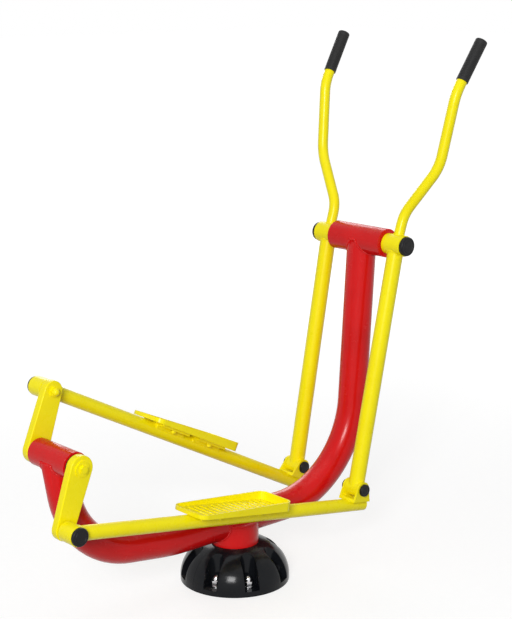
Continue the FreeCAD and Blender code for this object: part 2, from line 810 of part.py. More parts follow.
def fork():
    """Forked bracket on top of a bar's front end, which carries the lower pivot."""
    x_mid = bar_length
    skirt_z = bar_r - fork_skirt_h
    outline = [
        Vector(x_mid - fork_half_l, lever_y - fork_outer, skirt_z),
        Vector(x_mid + fork_half_l, lever_y - fork_outer, skirt_z),
        Vector(x_mid + lever_r, lever_y - fork_outer, pivot_rise),
        Vector(x_mid - lever_r, lever_y - fork_outer, pivot_rise),
        Vector(x_mid - fork_half_l, lever_y - fork_outer, skirt_z),
    ]
    foot = Part.Face(Part.makePolygon(outline)).extrude(Vector(0, 2 * fork_outer, 0))
    ears = rod(lever_r, lever_y - fork_outer, lever_y + fork_outer, x_mid, pivot_rise)
    slot = box(
        x_mid - 2 * fork_half_l, x_mid + 2 * fork_half_l,
        lever_y - fork_inner, lever_y + fork_inner,
        fork_web_top, pivot_rise + 2 * lever_r,
    )
    bar = Part.makeCylinder(
        bar_r, 4 * fork_half_l, Vector(x_mid - 2 * fork_half_l, lever_y, 0), Vector(1, 0, 0)
    )
    hole = rod(lower_bolt_r, 0, 2 * lever_y, x_mid, pivot_rise)
    return foot.fuse(ears).cut([slot, bar, hole]).removeSplitter()


def lower_bolt():
    """Shoulder bolt through the fork, with its nut at the inner side."""
    head_y = lever_y + fork_outer
    tail_y = lever_y - fork_outer - lower_nut_h - lower_bolt_tail
    bolt = rod(lower_bolt_r, tail_y, head_y, bar_length, pivot_rise)
    head = rod(bolt_head_r, head_y, head_y + bolt_head_h, bar_length, pivot_rise)
    nut_place = Vector(bar_length, lever_y - fork_outer, pivot_rise)
    nut = hexagon(lower_nut_flats, nut_place, Vector(0, -1, 0), lower_nut_h)
    nut = nut.cut(rod(lower_bolt_r, 0, 2 * lever_y, bar_length, pivot_rise))
    return Part.makeCompound([bolt.fuse(head).removeSplitter(), nut])


def lower_caps():
    """Two black caps over the head and the nut of the lower bolt."""
    y_from = lever_y + fork_outer
    y_to = y_from + lower_cap_h
    cap = rod(lower_cap_r, y_from, y_to, bar_length, pivot_rise)
    cap = cap.makeFillet(lower_cap_edge_r, rim_at(cap, Vector(bar_length, y_to, pivot_rise)))
    inner_r = lower_cap_r - lower_cap_wall
    cap = cap.cut(rod(inner_r, y_from, y_to - lower_cap_wall, bar_length, pivot_rise))
    return Part.makeCompound([cap, cap.mirror(Vector(0, lever_y, 0), ALONG_Y)])


def rounded_block(length, width, corner_r, z_from, z_to):
    """Block with round corners, centred on a tray."""
    x_from, x_to = tray_centre - length / 2, tray_centre + length / 2
    y_from, y_to = lever_y - width / 2, lever_y + width / 2
    block = box(x_from, x_to, y_from, y_to, z_from, z_to)
    upright = [e for e in block.Edges if abs(e.Vertexes[0].Z - e.Vertexes[1].Z) > 1e-6]
    return block.makeFillet(corner_r, upright)


def foot_tray():
    """Foot tray with a rim that rises towards the toes, and ribs across its floor."""
    top = tray_floor_z + tray_toe_h
    tray = rounded_block(tray_length, tray_width, tray_corner_r, tray_bottom, top)
    inside = rounded_block(
        tray_length - 2 * tray_wall, tray_width - 2 * tray_wall,
        tray_corner_r - tray_wall, tray_floor_z, top,
    )
    tray = tray.cut([inside, above_rim()])
    half_w = tray_width / 2 - tray_rib_margin
    usable = tray_length / 2 - tray_rib_margin
    steps = int(usable / tray_rib_pitch)
    ribs = []
    for i in range(-steps, steps + 1):
        x = tray_centre + i * tray_rib_pitch
        ribs.append(box(
            x - tray_rib_w / 2, x + tray_rib_w / 2,
            lever_y - half_w, lever_y + half_w, tray_floor_z, tray_floor_z + tray_rib_h,
        ))
    return tray.fuse(ribs).cut(tray_bolt_spaces()).removeSplitter()


def above_rim():
    """Space over the sloping top edge of a tray's rim."""
    heel_x, toe_x = tray_centre - tray_length / 2, tray_centre + tray_length / 2
    heel_z, toe_z = tray_floor_z + tray_heel_h, tray_floor_z + tray_toe_h
    ceiling = toe_z + tray_toe_h
    outline = [
        Vector(heel_x, 0, heel_z),
        Vector(toe_x, 0, toe_z),
        Vector(toe_x, 0, ceiling),
        Vector(heel_x, 0, ceiling),
        Vector(heel_x, 0, heel_z),
    ]
    return Part.Face(Part.makePolygon(outline)).extrude(Vector(0, 2 * lever_y, 0))


def bracket_places():
    """Places of the two tray brackets along the bar."""
    return [tray_centre - bracket_spread / 2, tray_centre + bracket_spread / 2]


def tray_bolt_places():
    """Centres of the four tray bolts, as X and Y."""
    return [(x, lever_y + s * tray_bolt_y) for x in bracket_places() for s in (-1, 1)]


def tray_bolt_spaces():
    """Rods that cut the holes for the tray bolts, and room for their heads among the ribs."""
    head_top = tray_floor_z + tray_bolt_head_h
    spaces = []
    for x, y in tray_bolt_places():
        spaces.append(disc(tray_bolt_r, wing_bottom, tray_floor_z, x, y))
        spaces.append(disc(tray_bolt_head_r + tray_bolt_side_gap, tray_floor_z, head_top, x, y))
    return spaces


def tray_brackets():
    """Two saddle brackets between the bar and its tray."""
    bar = Part.makeCylinder(bar_r, bar_length, Vector(0, lever_y, 0), Vector(1, 0, 0))
    brackets = []
    for x in bracket_places():
        x_from, x_to = x - bracket_length / 2, x + bracket_length / 2
        wings = box(
            x_from, x_to, lever_y - bracket_y, lever_y + bracket_y, wing_bottom, tray_bottom
        )
        skirt = box(
            x_from, x_to, lever_y - skirt_y, lever_y + skirt_y,
            bar_r - bracket_skirt_h, tray_bottom,
        )
        brackets.append(wings.fuse(skirt).cut([bar] + tray_bolt_spaces()).removeSplitter())
    return Part.makeCompound(brackets)


def tray_fasteners():
    """Four bolts with low round heads, and their nuts."""
    pieces = []
    tail_z = wing_bottom - tray_nut_h - tray_bolt_tail
    for x, y in tray_bolt_places():
        shank = disc(tray_bolt_r, tail_z, tray_floor_z, x, y)
        head = disc(tray_bolt_head_r, tray_floor_z, tray_floor_z + tray_bolt_head_h, x, y)
        nut = hexagon(tray_nut_flats, Vector(x, y, wing_bottom), Vector(0, 0, -1), tray_nut_h)
        pieces.append(shank.fuse(head).removeSplitter())
        pieces.append(nut.cut(shank))
    return Part.makeCompound(pieces)


def pedal_bar_parts(side):
    """All pieces of one pedal bar, in the bar's own frame."""
    pieces = {
        "pedal_bar": pedal_bar_tube(),
        "bar_plug": bar_plug(),
        "fork": fork(),
        "lower_bolt": lower_bolt(),
        "lower_caps": lower_caps(),
        "foot_tray": foot_tray(),
        "tray_brackets": tray_brackets(),
        "tray_fasteners": tray_fasteners(),
        "rear_housing": rear_housing(side),
        "rear_cap": rear_cap(side),
    }
    return {SIDE_NAMES[side] + "_" + n: on_side(s, side) for n, s in pieces.items()}


def rest_linkage(side):
    """Where one side's pin and lower pivot lie at rest, and how its lever and bar tilt."""
    phase = math.radians(crank_phase_deg)
    pin_x = crank_x + side * crank_radius * math.sin(phase)
    pin_z = crank_z + side * crank_radius * math.cos(phase)
    reach = math.hypot(bar_length, pivot_rise)
    span = math.hypot(pin_x - pivot_x, pin_z - pivot_z)
    ux, uz = (pin_x - pivot_x) / span, (pin_z - pivot_z) / span
    along = (lever_length**2 - reach**2 + span**2) / (2 * span)
    across = math.sqrt(lever_length**2 - along**2)
    low_x = pivot_x + along * ux - across * uz
    low_z = pivot_z + along * uz + across * ux
    lever_tilt = math.atan2(pivot_x - low_x, pivot_z - low_z)
    bar_tilt = math.atan2(pin_z - low_z, low_x - pin_x) + math.atan2(pivot_rise, bar_length)
    return {
        "pin": (pin_x, pin_z),
        "lower_pivot": (low_x, low_z),
        "lever_tilt": math.degrees(lever_tilt),
        "bar_tilt": math.degrees(bar_tilt),
    }


def all_parts():
    """Every piece of the walker in its place, by name."""
    parts = {}
    parts.update(base_parts())
    parts.update(column_parts())
    parts["main_beam"] = main_beam()
    parts.update(crank_housing_parts())
    parts.update(crank_parts())
    parts.update(top_pivot_parts())
    for side in (RIGHT, LEFT):
        rest = rest_linkage(side)
        for name, shape in lever_parts(side).items():
            parts[name] = turned_to(shape, pivot_x, pivot_z, rest["lever_tilt"])
        for name, shape in pedal_bar_parts(side).items():
            parts[name] = turned_to(shape, rest["pin"][0], rest["pin"][1], rest["bar_tilt"])
    return parts


def main():
    """Builds every piece, reports it and writes it out."""
    os.makedirs("parts", exist_ok=True)
    for side in (RIGHT, LEFT):
        print(SIDE_NAMES[side], rest_linkage(side))
    for name, shape in all_parts().items():
        if not shape.isValid():
            print("not valid:", name)
        print(name, len(shape.Solids), round(shape.Volume))
        shape.exportStep("parts/" + name + ".step")


main()
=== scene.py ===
import json
import logging
import math
from dataclasses import dataclass
from enum import Enum
from typing import Any, ClassVar

import bmesh
import bpy
from mathutils import Matrix, Vector


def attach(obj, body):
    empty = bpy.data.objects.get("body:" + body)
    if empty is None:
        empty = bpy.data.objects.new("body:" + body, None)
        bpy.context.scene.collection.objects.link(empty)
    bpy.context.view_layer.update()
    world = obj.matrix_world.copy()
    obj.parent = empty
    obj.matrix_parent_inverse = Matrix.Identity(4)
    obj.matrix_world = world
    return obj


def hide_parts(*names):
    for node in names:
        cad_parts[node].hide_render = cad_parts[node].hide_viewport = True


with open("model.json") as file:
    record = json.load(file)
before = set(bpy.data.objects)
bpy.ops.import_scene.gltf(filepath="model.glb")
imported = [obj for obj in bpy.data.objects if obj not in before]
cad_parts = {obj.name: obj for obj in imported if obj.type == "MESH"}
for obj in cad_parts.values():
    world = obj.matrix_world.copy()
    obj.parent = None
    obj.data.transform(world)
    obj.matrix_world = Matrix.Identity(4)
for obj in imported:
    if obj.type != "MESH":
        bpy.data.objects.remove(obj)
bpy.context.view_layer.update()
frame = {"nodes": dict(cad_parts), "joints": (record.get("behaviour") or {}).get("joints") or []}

LOG = logging.getLogger("walker")

Triple = tuple[float, float, float]
Span = tuple[float, float]
Socket = bpy.types.NodeSocket
Link = Any

# Part of a noise's range that nearly all of its values lie in.
MOST: Span = (0.3, 0.8)
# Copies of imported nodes: distance at which points are merged, angle below which
# two faces count as one, and angle in degrees from which an edge is sharp.
MERGE = 5e-6
FLAT = math.radians(0.02)
CREASE = 32.0
# Points of a seam that runs round a tube.
SEAM_STEPS = 72


class Side(Enum):
    """The two sides of the walker, by the sign of their Y."""

    RIGHT = -1
    LEFT = 1

    @property
    def word(self) -> str:
        """The side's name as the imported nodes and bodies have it."""
        return self.name.lower()


class Slot(Enum):
    """The finishes that the record names, each with the word that its pieces' names end in."""

    RED = ("red_paint", "painted")
    YELLOW = ("yellow_paint", "painted")
    COVER = ("black_cover", "moulded")
    CAP = ("black_cap", "moulded")
    GRIP = ("grip_rubber", "ribbed")
    BRIGHT = ("bright_steel", "plated")
    TURNED = ("steel", "turned")
    PRIMED = ("primed_steel", "primed")
    BUSH = ("bush_plastic", "moulded")
    SEAL = ("seal_rubber", "moulded")

    def __init__(self, label: str, word: str) -> None:
        """Takes the record's label and the word."""
        self.label, self.word = label, word


@dataclass(frozen=True)
class Grain:
    """A noise: features for each metre, octaves, and weight of the finer ones."""

    scale: float
    detail: float = 3.0
    rough: float = 0.5


@dataclass(frozen=True)
class Relief:
    """A bump: its depth in metres and the share of it that shows."""

    depth: float
    share: float = 0.6


@dataclass(frozen=True)
class Dust:
    """What settles on faces that look up.

    It starts at the first height of the normal in slope and is full at the second. The
    patches are values of the noise that breaks it up, and dull is what it adds to the
    roughness.
    """

    colour: Triple
    share: float
    dull: float
    slope: Span
    patches: Span


class NodeTree:
    """Short calls for building a tree of nodes."""

    def __init__(self, tree: bpy.types.NodeTree) -> None:
        """Takes the tree that the nodes go into."""
        self.nodes, self.links = tree.nodes, tree.links

    def add(
        self, kind: str, inputs: dict[str | int, Link] | None = None, **settings: Any
    ) -> bpy.types.Node:
        """Adds a node, sets it up and links it.

        Args:
            kind: Blender's type name of the node.
            inputs: Sockets to link, or plain values to set, by the input's name or number.
            settings: Properties of the node itself.

        Returns:
            The new node.
        """
        node = self.nodes.new(kind)
        for key, value in settings.items():
            setattr(node, key, value)
        for key, value in (inputs or {}).items():
            if isinstance(value, Socket):
                self.links.new(value, node.inputs[key])
            else:
                node.inputs[key].default_value = value
        return node

    def out(
        self, kind: str, inputs: dict[str | int, Link] | None = None, **settings: Any
    ) -> Socket:
        """Adds a node and gives its first output."""
        return self.add(kind, inputs, **settings).outputs[0]

    def math(self, operation: str, first: Link, second: Link = 0.0, clamp: bool = False) -> Socket:
        """Adds a Math node, whose result can be held between 0 and 1."""
        inputs = {0: first, 1: second}
        return self.out("ShaderNodeMath", inputs, operation=operation, use_clamp=clamp)

    def plus(self, first: Link, second: Link) -> Socket:
        """The sum of two numbers."""
        return self.math("ADD", first, second)

    def minus(self, first: Link, second: Link) -> Socket:
        """The first number less the second."""
        return self.math("SUBTRACT", first, second)

    def times(self, first: Link, second: Link) -> Socket:
        """The product of two numbers."""
        return self.math("MULTIPLY", first, second)

    def over(self, first: Link, second: Link) -> Socket:
        """The first number divided by the second."""
        return self.math("DIVIDE", first, second)


class ShaderTree(NodeTree):
    """The nodes of one new material."""

    def __init__(self, name: str) -> None:
        """Starts a material with an empty tree.

        Args:
            name: Name of the material.
        """
        self.material = bpy.data.materials.new(name)
        self.material.use_nodes = True
        super().__init__(self.material.node_tree)
        self.nodes.clear()

    def ramp(self, value: Link, span: Span, results: Span = (0.0, 1.0)) -> Socket:
        """Adds a smooth, clamped change from a span of the value to its results."""
        inputs = dict(enumerate((value, *span, *results)))
        return self.out("ShaderNodeMapRange", inputs, interpolation_type="SMOOTHSTEP")

    def place(self, stretch: Triple = (1, 1, 1)) -> Socket:
        """The object's own coordinates, scaled along each axis for a pattern."""
        source = self.add("ShaderNodeTexCoord").outputs["Object"]
        return self.out("ShaderNodeMapping", {"Vector": source, "Scale": stretch})

    def noise(self, vector: Link, grain: Grain) -> Socket:
        """Adds a noise pattern over coordinates in metres."""
        inputs = {"Scale": grain.scale, "Detail": grain.detail, "Roughness": grain.rough}
        return self.out("ShaderNodeTexNoise", {"Vector": vector, **inputs})

    def blend(self, share: Link, first: Link, second: Link) -> Socket:
        """Adds a mix of two colours or colour sockets.

        Args:
            share: Share of the second one.
            first: First colour.
            second: Second colour.

        Returns:
            The colour socket.
        """
        inputs = {0: share}
        for number, colour in ((6, first), (7, second)):
            inputs[number] = (*colour, 1.0) if isinstance(colour, tuple) else colour
        return self.add("ShaderNodeMix", inputs, data_type="RGBA").outputs[2]

    def bump(self, height: Link, relief: Relief, under: Link | None = None) -> Socket:
        """Adds a bump, over a coarser one where that is given."""
        inputs = {"Height": height, "Distance": relief.depth, "Strength": relief.share}
        return self.out("ShaderNodeBump", inputs | ({} if under is None else {"Normal": under}))

    def settled(self, slope: Span, grime: Link, patches: Span) -> Socket:
        """How much has settled on a face, from 0 to 1.

        Args:
            slope: Heights of the normal at which it starts and is full.
            grime: Noise that breaks it up.
            patches: Values of the noise at which it starts and is full.

        Returns:
            The share socket.
        """
        normal = self.add("ShaderNodeNewGeometry").outputs["Normal"]
        height = self.add("ShaderNodeSeparateXYZ", {"Vector": normal}).outputs["Z"]
        return self.times(self.ramp(height, slope), self.ramp(grime, patches))

    def dusted(self, dust: Dust, grime: Link, tone: Link, rough: Link) -> tuple[Socket, Socket]:
        """Lays dust over a colour and a roughness.

        Args:
            dust: The dust.
            grime: Noise that breaks it up.
            tone: Colour below it.
            rough: Roughness below it.

        Returns:
            The colour and the roughness with the dust.
        """
        settled = self.settled(dust.slope, grime, dust.patches)
        dusty = self.blend(self.times(settled, dust.share), tone, dust.colour)
        return dusty, self.plus(rough, self.times(settled, dust.dull))

    def finish(self, tone: Link, rough: Link, normal: Link, **more: float) -> bpy.types.Material:
        """Ends the tree in one Principled shader.

        Args:
            tone: Base colour.
            rough: Roughness.
            normal: Normal with its bumps.
            more: Further values of the shader, with _ for each space in the input's name.

        Returns:
            The material.
        """
        inputs = {"Base Color": tone, "Roughness": rough, "Normal": normal}
        inputs |= {name.replace("_", " "): value for name, value in more.items()}
        shader = self.out("ShaderNodeBsdfPrincipled", inputs)
        self.add("ShaderNodeOutputMaterial", {"Surface": shader})
        return self.material


@dataclass(frozen=True)
class Finish:
    """Two colours in clouds, uneven gloss and a fine relief. The kinds below change parts."""

    slot: Slot
    colour: Triple
    second: Triple
    rough: Span
    cloud: Grain
    spread: Span
    grain: Grain
    relief: Relief
    second_share: float = 1.0
    specular: float = 0.5

    def tone(self, tree: ShaderTree, cloud: Socket) -> Socket:
        """The two colours, mixed by the cloud."""
        share = tree.times(tree.ramp(cloud, self.spread), self.second_share)
        return tree.blend(share, self.colour, self.second)

    def height(self, tree: ShaderTree, place: Socket) -> Socket:
        """Height of the fine relief."""
        return tree.noise(place, self.grain)

    def material(self) -> bpy.types.Material:
        """Builds the material.

        Returns:
            The material.
        """
        tree = ShaderTree(self.slot.label)
        place = tree.place()
        cloud = tree.noise(place, self.cloud)
        rough = tree.ramp(cloud, MOST, self.rough)
        normal = tree.bump(self.height(tree, place), self.relief)
        return tree.finish(self.tone(tree, cloud), rough, normal, Specular_IOR_Level=self.specular)


@dataclass(frozen=True)
class PowderCoat(Finish):
    """Glossy baked powder paint on steel that has stood outdoors."""

    rough: Span = (0.22, 0.29)
    cloud: Grain = Grain(9.0, 4.0, 0.55)
    spread: Span = (0.35, 0.75)
    grain: Grain = Grain(1 / 0.0026, 2.0, 0.45)
    relief: Relief = Relief(0.000016, 0.8)
    specular: float = 0.19
    wave: Grain = Grain(0.22 / 0.0026, 1.0, 0.4)
    wave_relief: Relief = Relief(0.000016, 0.7)
    grime: Grain = Grain(38.0, 6.0, 0.65)
    dust: Dust = Dust((0.55, 0.50, 0.42), 0.045, 0.12, (0.55, 1.0), (0.42, 0.75))
    coat: float = 0.05
    coat_rough: float = 0.08

    def material(self) -> bpy.types.Material:
        """Builds the paint, with orange peel, uneven depth of colour and settled dust.

        Returns:
            The material.
        """
        tree = ShaderTree(self.slot.label)
        place = tree.place()
        tone = self.tone(tree, tree.noise(place, self.cloud))
        grime = tree.noise(place, self.grime)
        rough = tree.ramp(grime, MOST, self.rough)
        tone, rough = tree.dusted(self.dust, grime, tone, rough)
        normal = tree.bump(tree.noise(place, self.wave), self.wave_relief)
        normal = tree.bump(self.height(tree, place), self.relief, normal)
        return tree.finish(
            tone, rough, normal, Specular_IOR_Level=self.specular,
            Coat_Weight=self.coat, Coat_Roughness=self.coat_rough,
        )


@dataclass(frozen=True)
class GlossMoulding(Finish):
    """Glossy black moulded plastic with fine wipe marks and a little dust."""

    rough: Span = (0.14, 0.23)
    cloud: Grain = Grain(14.0, 5.0, 0.6)
    spread: Span = (0.4, 0.8)
    second_share: float = 0.5
    grain: Grain = Grain(120.0, 2.0)
    relief: Relief = Relief(0.00012)
    specular: float = 0.16
    wipe: Grain = Grain(60.0, 3.0, 0.6)
    wipe_stretch: Triple = (1.0, 1.0, 14.0)
    wipe_spread: Span = (0.35, 0.75)
    dust: Dust = Dust((0.5, 0.46, 0.40), 0.05, 0.14, (0.5, 1.0), (0.45, 0.72))

    def material(self) -> bpy.types.Material:
        """Builds the moulding, with wipe marks that run round the dome.

        Returns:
            The material.
        """
        tree = ShaderTree(self.slot.label)
        place = tree.place()
        cloud = tree.noise(place, self.cloud)
        wipe = tree.noise(tree.place(self.wipe_stretch), self.wipe)
        rough = tree.ramp(wipe, self.wipe_spread, self.rough)
        tone, rough = tree.dusted(self.dust, cloud, self.tone(tree, cloud), rough)
        normal = tree.bump(self.height(tree, place), self.relief)
        return tree.finish(tone, rough, normal, Specular_IOR_Level=self.specular)


@dataclass(frozen=True)
class GrainedMoulding(Finish):
    """Black polyethylene with a fine moulded grain, a little chalky where the sun falls on it."""

    slope: Span = (-0.2, 1.0)

    def tone(self, tree: ShaderTree, cloud: Socket) -> Socket:
        """The black, with chalk on the faces that look up."""
        chalky = tree.times(tree.settled(self.slope, cloud, self.spread), self.second_share)
        return tree.blend(chalky, self.colour, self.second)


@dataclass(frozen=True)
class Rubber(Finish):
    """Matte black rubber, polished a little by hands."""

    rough: Span = (0.52, 0.70)
    cloud: Grain = Grain(34.0, 5.0, 0.6)
    spread: Span = (0.35, 0.8)
    grain: Grain = Grain(1 / 0.0012)
    relief: Relief = Relief(0.00004)
    second_share: float = 0.7
    specular: float = 0.25

    def height(self, tree: ShaderTree, place: Socket) -> Socket:
        """Height of the pores."""
        inputs = {"Vector": place, "Scale": self.grain.scale}
        return tree.add("ShaderNodeTexVoronoi", inputs).outputs["Distance"]


@dataclass(frozen=True)
class Steel(Finish):
    """Bare or plated steel with drawn marks and dull patches."""

    cloud: Grain = Grain(70.0, 5.0, 0.6)
    spread: Span = (0.4, 0.75)
    grain: Grain = Grain(260.0, 3.0, 0.6)
    relief: Relief = Relief(0.00002)
    drag: Triple = (1.0, 30.0, 1.0)
    dull_spread: Span = (0.5, 0.8)
    dull: Span = (0.0, 0.10)

    def material(self) -> bpy.types.Material:
        """Builds the metal.

        Returns:
            The material.
        """
        tree = ShaderTree(self.slot.label)
        cloud = tree.noise(tree.place(), self.cloud)
        marks = self.height(tree, tree.place(self.drag))
        dull = tree.ramp(cloud, self.dull_spread, self.dull)
        rough = tree.plus(tree.ramp(marks, MOST, self.rough), dull)
        normal = tree.bump(marks, self.relief)
        return tree.finish(self.tone(tree, cloud), rough, normal, Metallic=1.0)


def recipes() -> list[Finish]:
    """Lists the finishes of the walker.

    Returns:
        One finish for each slot.
    """
    rubber, worn = (0.0135, 0.0135, 0.014), (0.026, 0.0255, 0.025)
    return [
        PowderCoat(Slot.RED, (0.66, 0.006, 0.007), (0.58, 0.004, 0.005)),
        PowderCoat(Slot.YELLOW, (0.97, 0.85, 0.004), (0.94, 0.805, 0.003), rough=(0.26, 0.33)),
        GlossMoulding(Slot.COVER, (0.0060, 0.0070, 0.0090), (0.013, 0.0135, 0.015)),
        GrainedMoulding(
            Slot.CAP, (0.009, 0.009, 0.010), (0.020, 0.020, 0.021), rough=(0.34, 0.50),
            cloud=Grain(55.0, 5.0, 0.6), spread=(0.3, 0.75), grain=Grain(1 / 0.0009, 2.0),
            relief=Relief(0.00002, 0.8), second_share=0.7, specular=0.18,
        ),
        Rubber(Slot.GRIP, rubber, worn),
        Rubber(Slot.SEAL, (0.018, 0.018, 0.018), worn, grain=Grain(1 / 0.0006)),
        Steel(Slot.BRIGHT, (0.78, 0.78, 0.80), (0.62, 0.62, 0.64), rough=(0.16, 0.28)),
        Steel(Slot.TURNED, (0.56, 0.56, 0.58), (0.40, 0.40, 0.41), rough=(0.30, 0.42)),
        Finish(
            Slot.PRIMED, (0.075, 0.076, 0.080), (0.10, 0.045, 0.022), rough=(0.50, 0.72),
            cloud=Grain(180.0, 6.0, 0.7), spread=(0.62, 0.72), grain=Grain(900.0, 2.0, 0.6),
            relief=Relief(0.00012, 0.7),
        ),
        Finish(
            Slot.BUSH, (0.72, 0.71, 0.66), (0.46, 0.44, 0.39), rough=(0.32, 0.46),
            cloud=Grain(120.0, 5.0, 0.6), spread=(0.45, 0.75), grain=Grain(1500.0, 2.0),
            relief=Relief(0.00003),
        ),
    ]


def new_object(name: str, data: bpy.types.ID) -> bpy.types.Object:
    """Puts a mesh, lamp or camera in the scene.

    Args:
        name: Name of the object and its data.
        data: The data. A mesh is already in its place.

    Returns:
        The object, at the origin.
    """
    data.name = name
    thing = bpy.data.objects.new(name, data)
    bpy.context.scene.collection.objects.link(thing)
    return thing


def paint(mesh: bpy.types.Mesh, material: bpy.types.Material) -> None:
    """Gives a mesh its one material."""
    mesh.materials.clear()
    mesh.materials.append(material)


def smooth_mesh(name: str, shape: bmesh.types.BMesh, crease: float) -> bpy.types.Mesh:
    """Turns a working shape, which it frees, into a smooth mesh.

    Args:
        name: Name of the mesh.
        shape: The shape.
        crease: Angle in degrees from which an edge stays sharp.

    Returns:
        The mesh.
    """
    mesh = bpy.data.meshes.new(name)
    shape.to_mesh(mesh)
    shape.free()
    mesh.shade_smooth()
    mesh.set_sharp_from_angle(angle=math.radians(crease))
    return mesh


def cleaned(node: str) -> bpy.types.Mesh:
    """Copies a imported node's mesh without doubled points and edges inside flat faces.

    Args:
        node: Name of the node.

    Returns:
        The copy.
    """
    shape = bmesh.new()
    shape.from_mesh(frame["nodes"][node].data)
    bmesh.ops.remove_doubles(shape, verts=shape.verts, dist=MERGE)
    bmesh.ops.dissolve_limit(shape, angle_limit=FLAT, verts=shape.verts, edges=shape.edges)
    return smooth_mesh(node, shape, CREASE)


def lofted(
    name: str, rows: list[list[Triple]], places: list[Matrix], crease: float
) -> bpy.types.Mesh:
    """Skins rings of points into a closed solid, once at each place.

    Args:
        name: Name of the mesh.
        rows: The rings, from one end of the solid to the other.
        places: Where the solids go.
        crease: Angle in degrees from which an edge stays sharp.

    Returns:
        The mesh, with its faces outwards.
    """
    shape = bmesh.new()
    for place in places:
        rings = [[shape.verts.new(place @ Vector(point)) for point in row] for row in rows]
        for low, high in zip(rings, rings[1:]):
            for i in range(len(low)):
                shape.faces.new((low[i - 1], low[i], high[i], high[i - 1]))
        shape.faces.new(rings[0])
        shape.faces.new(rings[-1])
    bmesh.ops.recalc_face_normals(shape, faces=shape.faces)
    return smooth_mesh(name, shape, crease)


def line_object(
    name: str, lines: list[list[Vector]], closed: bool, numbers: dict[str, list[float]]
) -> bpy.types.Object:
    """Makes a mesh of bare lines for a tree to sweep along.

    Args:
        name: Name of the object.
        lines: Points of each line.
        closed: Whether the lines close on themselves.
        numbers: Numbers for each point, one list for each name, over all lines.

    Returns:
        The carrier object.
    """
    points: list[Vector] = []
    edges: list[tuple[int, int]] = []
    for line in lines:
        first = len(points)
        points += line
        edges += [(i, i + 1) for i in range(first, len(points) - 1)]
        if closed:
            edges.append((len(points) - 1, first))
    mesh = bpy.data.meshes.new(name)
    mesh.from_pydata(points, edges, [])
    for key, values in numbers.items():
        mesh.attributes.new(key, "FLOAT", "POINT").data.foreach_set("value", values)
    return new_object(name, mesh)


def turns(count: int, start: float = 0.0, end: float = 2 * math.pi) -> list[float]:
    """Evenly spaced angles from start up to, but not including, end."""
    return [start + (end - start) * i / count for i in range(count)]


class GeometryTree(NodeTree):
    """Geometry nodes with named sizes, applied to a carrier mesh."""

    def __init__(self, name: str) -> None:
        """Starts a tree with its first input.

        Args:
            name: Name of the tree.
        """
        self.group = bpy.data.node_groups.new(name, "GeometryNodeTree")
        super().__init__(self.group)
        self.entry = self.nodes.new("NodeGroupInput")
        self.start = self.input("Geometry", "NodeSocketGeometry")
        self.paint = self.input("Paint", "NodeSocketMaterial")

    def input(self, name: str, kind: str = "NodeSocketFloat") -> Socket:
        """Adds a named input, and gives its value inside the tree."""
        self.group.interface.new_socket(name, in_out="INPUT", socket_type=kind)
        return self.entry.outputs[name]

    def attribute(self, name: str) -> Socket:
        """Reads a number that the carrier holds at each point."""
        return self.add("GeometryNodeInputNamedAttribute", {"Name": name}).outputs["Attribute"]

    def line(self) -> Socket:
        """The carrier's lines as curves."""
        return self.out("GeometryNodeMeshToCurve", {"Mesh": self.start})

    def wave(self, along: Link, pitch: Link) -> Socket:
        """A cosine that repeats with a pitch along the line."""
        return self.math("COSINE", self.times(self.over(along, pitch), 2 * math.pi))

    def sweep(self, path: Socket, sides: int, radius: Link, more: dict[str, Link]) -> None:
        """Sweeps a circle along a path and closes the tree.

        Args:
            path: The path.
            sides: Faces round it.
            radius: Radius of the circle.
            more: Further inputs of the sweep.
        """
        ring = self.out("GeometryNodeCurvePrimitiveCircle", {"Resolution": sides, "Radius": radius})
        tube = self.out("GeometryNodeCurveToMesh", {"Curve": path, "Profile Curve": ring, **more})
        self.end(self.out("GeometryNodeSetShadeSmooth", {"Geometry": tube}))

    def end(self, geometry: Socket) -> None:
        """Closes the tree with realised instances and the paint.

        Args:
            geometry: The geometry that the tree has made.
        """
        self.group.interface.new_socket(
            "Geometry", in_out="OUTPUT", socket_type="NodeSocketGeometry"
        )
        real = self.out("GeometryNodeRealizeInstances", {"Geometry": geometry})
        inputs = {"Geometry": real, "Material": self.paint}
        self.add("NodeGroupOutput", {0: self.out("GeometryNodeSetMaterial", inputs)})

    def apply(
        self, carrier: bpy.types.Object, name: str, inputs: dict[str, Any]
    ) -> bpy.types.Object:
        """Runs the tree on a carrier and keeps the result as a plain mesh.

        Args:
            carrier: Object whose mesh the tree starts from. It is removed.
            name: Name of the finished piece.
            inputs: Values of the tree's inputs, by name.

        Returns:
            The finished piece.
        """
        modifier = carrier.modifiers.new(name, "NODES")
        modifier.node_group = self.group
        for item in self.group.interface.items_tree:
            if item.name in inputs:
                modifier[item.identifier] = inputs[item.name]
        graph = bpy.context.evaluated_depsgraph_get()
        mesh = bpy.data.meshes.new_from_object(carrier.evaluated_get(graph))
        carrier.modifiers.remove(modifier)
        bpy.data.objects.remove(carrier)
        return new_object(name, mesh)


class WeldTree(GeometryTree):
    """Sweeps a rippled bead along closed seams."""

    SIZES = {"Ripple pitch": 0.0036, "Ripple height": 0.13}
    SIDES = 10
    RIPPLE_STEPS = 5.0

    def __init__(self) -> None:
        """Builds the tree. The height of a ripple is a share of the bead."""
        super().__init__("weld_bead")
        pitch, height = (self.input(name) for name in self.SIZES)
        inputs = {"Curve": self.line(), "Length": self.over(pitch, self.RIPPLE_STEPS)}
        path = self.out("GeometryNodeResampleCurve", inputs, mode="LENGTH")
        along = self.add("GeometryNodeSplineParameter").outputs["Length"]
        swell = self.plus(self.times(self.wave(along, pitch), height), 1.0)
        width = self.times(self.attribute("bead"), swell)
        self.sweep(path, self.SIDES, 1.0, {"Scale": width})


